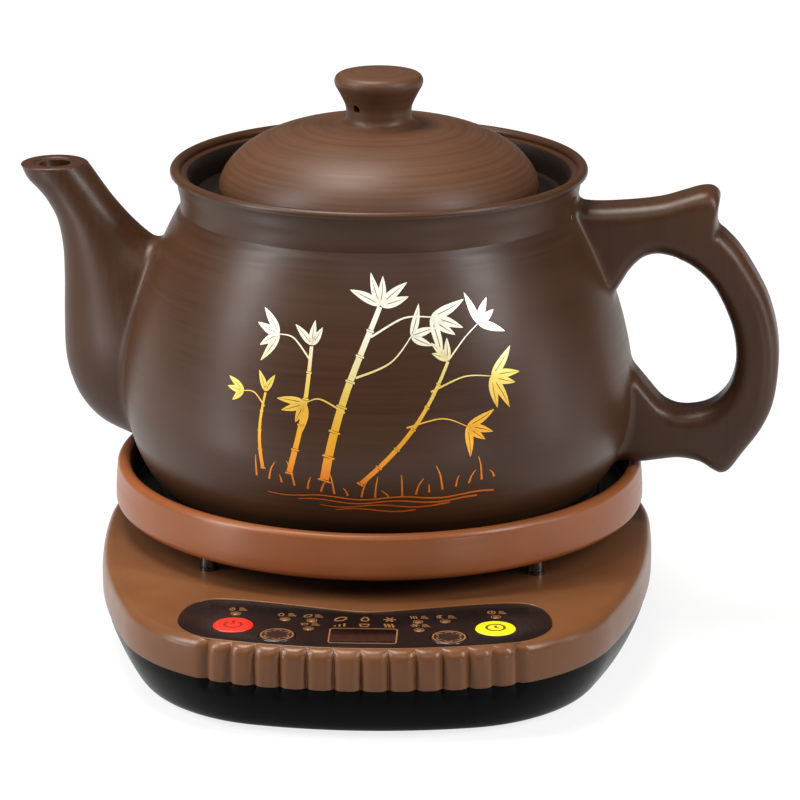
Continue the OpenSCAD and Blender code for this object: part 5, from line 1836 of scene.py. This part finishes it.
@dataclass
class Root:
    """A soft clay joint where a limb runs into the pot's wall."""

    profile: PotProfile
    on_limb: float = 4.0
    on_wall: float = 4.0
    steps: int = 8
    ring_pitch: float = 2.5
    sink: float = 0.996

    def depth(self, point: Array) -> float:
        """Return how far a point stands off the wall."""
        return math.hypot(point[0], point[1]) - self.profile.outer(point[2])

    def on_surface(self, point: Array) -> Array:
        """Return the wall's point beside a point."""
        radius = self.profile.outer(point[2]) / math.hypot(point[0], point[1])
        return np.array([point[0] * radius, point[1] * radius, point[2]])

    def meet(self, column: Array) -> tuple[Array, float]:
        """Find where a column of points enters the wall.

        Args:
            column: Points from the limb's far end to inside the pot.

        Returns:
            The point on the wall and its distance along the column.
        """
        run = 0.0
        for start, end in zip(column, column[1:]):
            step = float(np.linalg.norm(end - start))
            before, after = self.depth(start), self.depth(end)
            if before > 0 >= after:
                share = before / (before - after)
                return start + (end - start) * share, run + step * share
            run += step
        return column[-1], run

    @staticmethod
    def along(column: Array, distance: float) -> Array:
        """Walk along a column.

        Args:
            column: The points.
            distance: How far to walk.

        Returns:
            The point reached.
        """
        run = 0.0
        for start, end in zip(column, column[1:]):
            step = float(np.linalg.norm(end - start))
            if run + step >= distance:
                return start + (end - start) * ((distance - run) / (step + 1e-9))
            run += step
        return column[-1]

    def finish(self, rings: Sequence[Array]) -> list[Array]:
        """Trim a limb to the wall and flare it.

        Args:
            rings: Rings from the limb's far end to inside the pot, over the pot's foot.

        Returns:
            The rings outside the wall and the flare, to just under the wall.
        """
        stack = np.array(rings)
        columns = [stack[:, j] for j in range(stack.shape[1])]
        met = [self.meet(column) for column in columns]
        centre = np.mean([point for point, _ in met], 0)
        starts = [max(0.1, run - self.on_limb) for _, run in met]
        count = len(columns)
        lengths = np.linalg.norm(np.diff(stack, axis=0), axis=2)
        runs = np.concatenate([np.zeros((1, count)), np.cumsum(lengths, 0)])
        keep = int(min(np.searchsorted(runs[:, j], starts[j]) for j in range(count))) - 1
        keep = max(keep, 0)
        kept = [stack[i] for i in range(keep + 1)]
        longest = max(starts[j] - runs[keep, j] for j in range(count))
        extra = max(2, int(longest / self.ring_pitch))
        for q in range(1, extra):
            reached = [mix(runs[keep, j], starts[j], q / extra) for j in range(count)]
            kept.append(np.array([self.along(column, run) for column, run in zip(columns, reached)]))
        spreads = []
        for j in range(count):
            point = met[j][0]
            track = unit(met[(j + 1) % count][0] - met[j - 1][0])
            normal = unit(np.array([point[0], point[1], 0.0]))
            out = unit(np.cross(track, normal))
            if float(np.dot(out, point - centre)) < 0:
                out = -out
            spreads.append(self.on_surface(point + self.on_wall * out))
        for step in range(self.steps + 1):
            t = step / self.steps
            ring = []
            for j, column in enumerate(columns):
                first, corner, last = self.along(column, starts[j]), met[j][0], spreads[j]
                ring.append((1 - t) ** 2 * first + 2 * t * (1 - t) * corner + t * t * last)
            kept.append(np.array(ring))
        middle = np.mean(kept[-1], 0)
        edge = [self.on_surface(point + 0.4 * unit(point - middle)) for point in kept[-1]]
        kept.append(np.array(edge) * [self.sink, self.sink, 1])
        return kept


@dataclass
class Spout:
    """Tapered spout with a thick rounded lip."""

    profile: PotProfile = field(default_factory=PotProfile)
    sides: int = 56
    wall: float = 5.0
    lip: float = 2.6
    stations: tuple[tuple[float, ...], ...] = (
        (157.2, 136.6, 128.2, 137, 14.4), (154.4, 130.4, 124.8, 132.4, 13.9), (149.5, 125.2, 121, 127, 13.4),
        (145.4, 119.8, 116.6, 121.1, 13.4), (141.5, 111.8, 109, 112.6, 14.2), (139.4, 100, 101, 105.6, 15.6),
        (139.1, 86, 95.5, 103, 17.4), (139.5, 70, 92, 103, 19.2), (139.4, 53, 88.5, 103, 20.8),
        (137, 41, 86, 103, 22), (131.5, 29.5, 83, 103, 23), (121.5, 20, 80, 103, 23.5),
        (104, 12.5, 76, 103, 23.5),
    )

    def ring(self, station: Sequence[float], narrowed: float = 0.0) -> Array:
        """Draw the spout's section.

        Args:
            station: Its far edge, its near edge and half its width.
            narrowed: How much smaller it is all round.

        Returns:
            The points, over the pot's foot.
        """
        near, far = np.array([station[2], station[3]]), np.array([station[0], station[1]])
        centre, half = (near + far) / 2, float(np.linalg.norm(far - near)) / 2 - narrowed
        along = unit(far - near)
        points = []
        for a in np.linspace(0, 2 * math.pi, self.sides, endpoint=False):
            q = centre + half * math.cos(a) * along
            points.append((-q[0], (station[4] - narrowed) * math.sin(a), q[1]))
        return np.array(points)

    def build(self) -> None:
        """Make the spout's outside with its lip, and its dark bore."""
        path = spline(self.stations, 6)
        outside = [self.ring(station) for station in path]
        flared = Root(self.profile, 5.0, 4.5).finish(outside)
        lip = []
        for angle in np.radians(np.linspace(0, 180, 13)):
            drawn_in = self.lip * (1 - math.cos(angle)) * 1.1
            lip.append(self.ring(path[0], drawn_in) + [0, 0, 0.95 * math.sin(angle) - 0.5])
        bore = []
        for i, station in enumerate(path[1 : len(path) // 2]):
            bore.append(self.ring(station, self.wall + max(0.0, self.lip * (1 - i / 20))))
        rings = list(reversed(bore)) + list(reversed(lip)) + flared[1:]
        rings = [turned(ring, POT_TURN) + [0, 0, LEVELS.pot] for ring in rings]
        Piece("spout_horn", CLAY_HAND, "pot", ("pot_spout",), "brown_clay").make(*skin(rings, True, False))


@dataclass
class Handle:
    """Loop handle with a horn above and a spur below."""

    profile: PotProfile = field(default_factory=PotProfile)
    thickness: float = 24.0
    edge: float = 7.0
    stations: tuple[tuple[float, ...], ...] = (
        (78, 127, 92, 80), (90, 125.7, 101, 86), (97, 125.7, 105.5, 92.4), (105, 126.3, 109.2, 98.5),
        (114, 127.3, 114.5, 103.8), (123, 128.9, 120.5, 105.7), (131.7, 131.7, 127, 104.8),
        (138.5, 133.8, 131.5, 103), (143.6, 133.8, 134, 101.8), (146.6, 130.5, 136, 100.6),
        (145.9, 124, 138.5, 98.8), (146.2, 118, 141, 96.7), (150, 114.4, 143.4, 94.2), (156, 108, 146.5, 90),
        (163.5, 96.5, 150.5, 82.2), (169.2, 84.9, 153.8, 73.5), (172.9, 70.5, 155.4, 64),
        (173.7, 56, 155, 55), (171.8, 40.5, 152.8, 47.6), (167, 28.8, 149.6, 42.7),
        (159.5, 18, 145.8, 39.4), (154.2, 10.5, 142.4, 37.6), (150.6, 8.6, 139.8, 36.8),
        (147, 9.9, 137, 36.3), (141, 13.3, 134, 36), (132, 14.7, 129, 36.6),
        (123, 13.5, 123.4, 39.6), (116, 12.4, 117, 46.8), (108, 12.4, 111.5, 53.2), (97, 13, 103, 61),
    )

    def ring(self, station: Sequence[float]) -> Array:
        """Draw the handle's rounded section.

        Args:
            station: Its outer edge and its inner edge.

        Returns:
            The points, over the pot's foot.
        """
        far, near = np.array(station[:2], float), np.array(station[2:], float)
        centre, along = (near + far) / 2, unit(far - near)
        half, side = float(np.linalg.norm(far - near)) / 2, self.thickness / 2
        edge = min(self.edge, 0.8 * half, 0.8 * side)
        corner = arc((half - edge, side - edge), edge, 0, 90, 7)
        flat = [np.array([x, side]) for x in np.linspace(half - edge, 0, 5)[1:]]
        quarter = [np.array([half, y]) for y in np.linspace(0, side - edge, 3)[:-1]]
        quarter += corner + flat
        top = quarter + [np.array([-q[0], q[1]]) for q in reversed(quarter[:-1])]
        loop = top + [np.array([q[0], -q[1]]) for q in reversed(top[1:-1])]
        return np.array([(centre[0] + q[0] * along[0], q[1], centre[1] + q[0] * along[1]) for q in loop])

    def build(self) -> None:
        """Make the handle, flared into the pot at both ends."""
        rings = [self.ring(station) for station in spline(self.stations, 5)]
        middle = len(rings) // 2
        root = Root(self.profile, 4.0, 3.6)
        upper = root.finish(list(reversed(rings[: middle + 1])))
        lower = root.finish(rings[middle:])
        whole = list(reversed(upper)) + lower[1:]
        whole = [turned(ring, POT_TURN) + [0, 0, LEVELS.pot] for ring in whole]
        Piece("handle_loop", CLAY_HAND, "pot", ("pot_handle",), "brown_clay").make(*skin(whole, False, False))


@dataclass
class Lid:
    """Domed lid with a flared knob and a steam vent."""

    radius: float = 69.0
    rise: float = 29.4
    thickness: float = 4.6
    skirt: float = 8.0
    skirt_r: float = 60.3
    skirt_t: float = 3.4
    knob_r: float = 19.1
    neck_r: float = 14.0
    knob_h: float = 22.1
    vent_r: float = 1.7
    vent_turn: float = -129.0

    def outline(self) -> list[Sequence[float]]:
        """Draw the lid's outside from the skirt to the top of the knob.

        Returns:
            The points, as radius and height over the ledge.
        """
        section = [(self.skirt_r, 0.6), (self.skirt_r + 0.5, 0)]
        section += [(self.radius - 1.6, 0), (self.radius - 0.5, 0.5)]
        for angle in np.radians(np.linspace(0, 90, 44)):
            across = mix(self.neck_r + 5, self.radius, math.cos(angle) ** 0.95)
            section.append((across, 2 + (self.rise - 2.4) * math.sin(angle) ** 1.12))
        foot, top = self.rise, self.rise + self.knob_h
        for angle in np.radians(np.linspace(12, 84, 7)):
            level = foot - 0.2 + 3.6 * (1 - math.cos(angle))
            section.append((self.neck_r + 4 * (1 - math.sin(angle)), level))
        neck = ((0, 0.2), (0.4, 0.36), (0.5 * (self.knob_r - self.neck_r), 0.57))
        head = ((0.6, 0.73), (0.05, 0.81), (0.3, 0.885), (1.3, 0.945), (3.4, 0.98))
        knob = [(self.neck_r + out, foot + share * self.knob_h) for out, share in neck]
        knob += [(self.knob_r - drawn_in, foot + share * self.knob_h) for drawn_in, share in head]
        return section + spline([*knob, (0.5 * self.knob_r, top - 0.05), (0, top)], 6)

    def under(self) -> list[Sequence[float]]:
        """Draw the lid's hollow underside, from the middle out.

        Returns:
            The points, as radius and height over the ledge.
        """
        inner, depth = self.skirt_r - self.skirt_t, self.rise - self.thickness - 5
        turns = np.radians(np.linspace(90, 0, 16))
        hollow = [(inner * math.cos(angle), 4 + depth * math.sin(angle)) for angle in turns]
        hollow[0] = (0.0, hollow[0][1])
        foot = [(inner, 0.6 - self.skirt), (inner + 0.5, -self.skirt), (self.skirt_r - 0.8, -self.skirt)]
        return hollow + foot + [(self.skirt_r, 0.8 - self.skirt)]

    def build(self) -> None:
        """Make the lid as one turned piece and drill its vent."""
        section = [(r, LEVELS.ledge + h) for r, h in self.outline()]
        hollow = [(r, LEVELS.ledge + h) for r, h in self.under()]
        whole = hollow + section
        vent_z = LEVELS.ledge + self.rise + 0.37 * self.knob_h
        turn = math.radians(self.vent_turn)
        across = np.array([-math.sin(turn), math.cos(turn), 0])
        way = np.array([math.cos(turn), math.sin(turn), 0])
        angles = np.linspace(0, 2 * math.pi, 24, endpoint=False)
        ring = [self.vent_r * (math.cos(a) * across + math.sin(a) * np.array([0, 0, 1])) for a in angles]
        drill = skin([np.array(ring) + way * run + [0, 0, vent_z] for run in (0.2, self.knob_r + 2)])
        well = rod((0, 0), self.vent_r + 1, LEVELS.ledge + self.rise - 12, vent_z + self.vent_r, 32)
        Piece("lid_dome", CLAY_LID, "lid", ("lid",), "brown_clay").make(*lathe(whole, 256), [well, drill])


@dataclass
class BellyPrint:
    """Fired print on the pot's front: a bamboo grove over low reeds."""

    profile: PotProfile = field(default_factory=PotProfile)
    facing: float = -93.5
    reach: float = 104.0
    shift: Spot = (9.5, 5.5)
    film: float = 0.09

    def place(self, points: Array, lift: float) -> Array:
        """Lay flat points on the pot's wall.

        Args:
            points: The points, as the way round and the height over the foot.
            lift: How far they stand off the wall.

        Returns:
            The points in space.
        """
        placed = []
        for across, level in points:
            angle = math.radians(self.facing) + (across + self.shift[0]) / self.reach
            height = level + self.shift[1]
            radius = self.profile.outer(height) + lift + 0.02
            placed.append((radius * math.cos(angle), radius * math.sin(angle), LEVELS.pot + height))
        return np.array(placed)

    @staticmethod
    def leaf(
        base: Sequence[float], turn: float, length: float, width: float, bend: float = 0.0
    ) -> list[Solid]:
        """Draw a pointed leaf in two halves with a bare vein between them.

        Args:
            base: Where the leaf grows from.
            turn: Its direction, in degrees.
            length: Its length.
            width: Its widest width.
            bend: How far its tip curls to one side, as a share of its length.

        Returns:
            The two halves as flat drawings.
        """
        rows, columns, vein = 18, 3, 0.09
        direction = np.array([math.cos(math.radians(turn)), math.sin(math.radians(turn))])
        side = np.array([-direction[1], direction[0]])
        halves = []
        for sign in (-1, 1):
            points = []
            for i in range(rows + 1):
                t = i / rows
                half = width / 2 * math.sin(math.pi * t**0.72) ** 0.85
                spine = np.array(base) + direction * length * t + side * bend * length * t * t
                edges = np.linspace(*((vein, 1) if sign > 0 else (-1, -vein)), columns + 1)
                points += [spine + side * half * edge for edge in edges]
            halves.append((np.array(points), grid_faces(rows + 1, columns + 1, False)))
        return halves

    @staticmethod
    def stroke(points: Points, widths: Spot) -> Solid:
        """Draw a line that changes its width.

        Args:
            points: The points it passes through.
            widths: Its width at each end.

        Returns:
            The flat drawing.
        """
        line = np.array(spline(points, 8))
        along = np.gradient(line, axis=0)
        along /= np.linalg.norm(along, axis=1)[:, None]
        across = np.stack([-along[:, 1], along[:, 0]], 1)
        half = np.linspace(widths[0], widths[1], len(line))[:, None] / 2
        rows = np.stack([line - across * half, line + across * half], 1)
        return rows.reshape(-1, 2), grid_faces(len(line), 2, False)

    def culm(self, foot: Spot, top: Spot, joints: int, width: float, sway: float) -> list[Solid]:
        """Draw a jointed stem.

        Args:
            foot: Where it stands.
            top: Where it ends.
            joints: How many lengths it has.
            width: Its width at the foot.
            sway: How far its middle bends to one side.

        Returns:
            The flat drawings.
        """
        start, end = np.array(foot, float), np.array(top, float)
        side = unit(np.array([-(end - start)[1], (end - start)[0]]))

        def spot(t: float) -> Array:
            """Return the stem's middle at a share of its length."""
            return start + (end - start) * t + side * sway * math.sin(math.pi * t)

        drawn = []
        for number in range(joints):
            low, high = number / joints, (number + 1) / joints
            inner = [spot(mix(low, high, s)) for s in (0.05, 0.35, 0.65, 0.95)]
            size = mix(width, width * 0.55, low)
            drawn.append(self.stroke(inner, (size, size * 0.96)))
            lip = spot(low)
            drawn.append(self.stroke([lip - side * size * 0.72, lip, lip + side * size * 0.72], (0.7, 0.7)))
        return drawn

    def spray(self, base: Spot, turns: Sequence[float], length: float, width: float) -> list[Solid]:
        """Draw a fan of leaves.

        Args:
            base: The point they grow from.
            turns: Each leaf's direction, in degrees.
            length: The longest leaf's length.
            width: Their width.

        Returns:
            The flat drawings.
        """
        halves = []
        for i, turn in enumerate(turns):
            halves += self.leaf(base, turn, length * (1 - 0.13 * (i % 3)), width, 0.10 * (-1) ** i)
        return halves

    def grove(self) -> list[Solid]:
        """Draw the stems with their twigs and leaves.

        Returns:
            The flat drawings.
        """
        drawn = self.culm((-20, 27), (2, 98), 7, 3.6, 3.0)
        drawn += self.culm((-34, 29), (-27, 82), 5, 2.4, -2.0)
        drawn += self.culm((-6, 26), (30, 76), 6, 2.0, -3.0)
        drawn += self.culm((-45, 30), (-45, 62), 4, 1.5, 1.5)
        twigs = [
            ([(-2, 86), (12, 93), (24, 93)], (0.9, 0.4)), ([(-8, 70), (6, 76), (15, 86)], (0.9, 0.4)),
            ([(-27, 76), (-35, 84), (-42, 85)], (0.8, 0.3)), ([(22, 64), (36, 69), (48, 68)], (0.8, 0.3)),
            ([(-12, 56), (-22, 61), (-28, 59)], (0.8, 0.3)), ([(30, 76), (38, 84), (45, 89)], (0.7, 0.3)),
            ([(12, 50), (26, 53), (36, 49)], (0.7, 0.3)), ([(-45, 56), (-50, 61), (-55, 61)], (0.6, 0.3)),
        ]
        drawn += [self.stroke(points, widths) for points, widths in twigs]
        sprays = [
            ((24, 93), (14, -14, -42, -72), 17, 3.9), ((15, 86), (66, 20, -30), 13, 3.3),
            ((2, 98), (152, 116, 78, 40, 8), 15, 3.7), ((-42, 85), (128, 168, 206, 244), 13, 3.4),
            ((48, 68), (40, 6, -26, -58, -90), 15, 3.7), ((45, 89), (104, 62, 22, -14), 13, 3.4),
            ((-28, 59), (170, 206, 240, 272), 12, 3.2), ((36, 49), (20, -12, -46, -80), 13, 3.3),
            ((-27, 82), (132, 92, 54), 11, 3.0), ((30, 76), (128, 94, 150), 10, 2.8),
            ((-55, 61), (142, 180, 218), 9, 2.6), ((-45, 62), (110, 70), 9, 2.6),
        ]
        for base, turns, length, width in sprays:
            drawn += self.spray(base, turns, length, width)
        return drawn

    def reeds(self) -> list[Solid]:
        """Draw the low reeds and the water lines under them.

        Returns:
            The flat drawings.
        """
        drawn = []
        for number in range(19):
            x = -48 + number * 5.3
            tall = 7 + 4 * math.sin(2.3 * number + 0.6)
            lean = 3.0 * math.sin(1.7 * number)
            foot = 23.5 - 3.5 * math.cos(0.05 * x)
            reed = [(x, foot), (x + lean * 0.4, foot + tall * 0.6), (x + lean, foot + tall)]
            drawn.append(self.stroke(reed, (0.9, 0.2)))
        for number in range(4):
            half = 46 - 10 * number
            centre, level = 2 + 3 * math.sin(1.3 * number), 19.5 - 1.9 * number
            steps = np.linspace(-half, half, 14)
            wave = [(centre + x, level + 0.7 * math.sin(0.2 * x + number)) for x in steps]
            drawn.append(self.stroke(wave, (0.35, 0.8)))
        return drawn

    def build(self) -> None:
        """Make the print as one thin layer."""
        layers = [raised(drawing, self.film, self.place) for drawing in self.grove() + self.reeds()]
        Piece("belly_print", PRINT, "pot", slot="brown_clay").make(*merged(*layers))


# ---- what stays as it is


@dataclass
class InnerParts:
    """Nodes whose own shape is right; they only get a finish."""

    finishes: dict[str, Finish] = field(default_factory=lambda: dict(INNER_FINISHES))

    def build(self) -> None:
        """Dress each node."""
        for name, finish in self.finishes.items():
            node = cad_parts[name]
            for slot in node.material_slots:
                slot.material = finish.material()
            if not node.material_slots:
                node.data.materials.append(finish.material())
            LOG.info("%s: dressed with %s", name, finish.label)


# ---- studio


@dataclass(frozen=True)
class Softbox:
    """A rectangular lamp with an evenly bright face, sized in millimetres."""

    name: str
    place: tuple[float, float, float]
    aim: tuple[float, float, float]
    size: Spot
    radiance: float
    tint: Colour = (1.0, 1.0, 1.0)

    def build(self) -> None:
        """Add the lamp to the scene."""
        data = bpy.data.lights.new(self.name, "AREA")
        data.shape = "RECTANGLE"
        data.size, data.size_y = self.size[0] * MM, self.size[1] * MM
        data.energy = math.pi * data.size * data.size_y * self.radiance
        data.color = self.tint
        lamp = bpy.data.objects.new(self.name, data)
        lamp.location = Vector([MM * c for c in self.place])
        way = Vector([a - b for a, b in zip(self.aim, self.place)])
        lamp.rotation_euler = way.to_track_quat("-Z", "Y").to_euler()
        lamp.visible_camera = False
        bpy.context.scene.collection.objects.link(lamp)


@dataclass
class Studio:
    """Camera, floor, lamps and world."""

    camera_at: tuple[float, float, float] = (66.0, -1482.6, 546.5)
    pitch_down: float = 17.05
    heading: float = 2.2
    lens: float = 159.1
    sensor: float = 36.0
    floor_half: float = 6000.0
    softboxes: tuple[Softbox, ...] = (
        Softbox("left_box", (-1120, -430, 930), (0, 0, 150), (130, 900), 42.0),
        Softbox("right_box", (1050, -590, 930), (0, 0, 150), (130, 900), 37.0),
        Softbox("spout_strip", (-345, -190, 130), (-125, -15, 130), (36, 190), 9.0),
        Softbox("handle_strip", (430, -130, 130), (150, 0, 130), (36, 190), 9.0),
        Softbox("left_strip", (-336, -230, 40), (-60, -98, 62), (60, 60), 10.0),
        Softbox("right_strip", (300, -440, 40), (40, -109, 62), (60, 60), 10.0),
        Softbox("top_box", (-300, 60, 1500), (0, 0, 200), (760, 560), 17.0, (1.0, 0.94, 0.86)),
        Softbox("front_box", (0, -1150, 1250), (0, 0, 150), (1100, 500), 2.2),
    )

    def add_camera(self) -> None:
        """Set the camera at the photograph's viewing angle."""
        data = bpy.data.cameras.new("camera")
        data.lens, data.sensor_width, data.sensor_fit = self.lens, self.sensor, "HORIZONTAL"
        data.clip_end = 50.0
        camera = bpy.data.objects.new("camera", data)
        camera.location = [MM * c for c in self.camera_at]
        camera.rotation_euler = (math.radians(90 - self.pitch_down), 0, math.radians(self.heading))
        bpy.context.scene.collection.objects.link(camera)
        bpy.context.scene.camera = camera

    def add_floor(self) -> None:
        """Lay the studio paper."""
        half = self.floor_half
        corners = [(-half, -half, 0), (half, -half, 0), (half, half, 0), (-half, half, 0)]
        floor = new_object("floor", np.array(corners), [(0, 1, 2, 3)])
        floor.data.materials.append(PaleFloor().material())

    def add_world(self) -> None:
        """Surround the studio with a dim, even grey."""
        world = bpy.data.worlds.new("studio")
        bpy.context.scene.world = world
        world.use_nodes = True
        background = world.node_tree.nodes["Background"]
        background.inputs["Strength"].default_value = 0.1
        background.inputs["Color"].default_value = (1, 1, 1, 1)

    def build(self) -> None:
        """Make the studio round the object."""
        bpy.context.scene.view_settings.view_transform = "Standard"
        self.add_camera()
        for softbox in self.softboxes:
            softbox.build()
        self.add_floor()
        self.add_world()


# ---- making it


def main() -> None:
    """Build the studio and every part of the object in order."""
    logging.basicConfig(level=logging.INFO, format="%(name)s: %(message)s")
    parts = [
        Studio(), BaseShells(), ControlPanel(), HeatingHead(), PowerInlet(),
        ClayPot(), Spout(), Handle(), Lid(), BellyPrint(), InnerParts(),
    ]
    for part in parts:
        part.build()
        LOG.info("%s is ready", type(part).__name__)


if __name__ == "__main__":
    main()
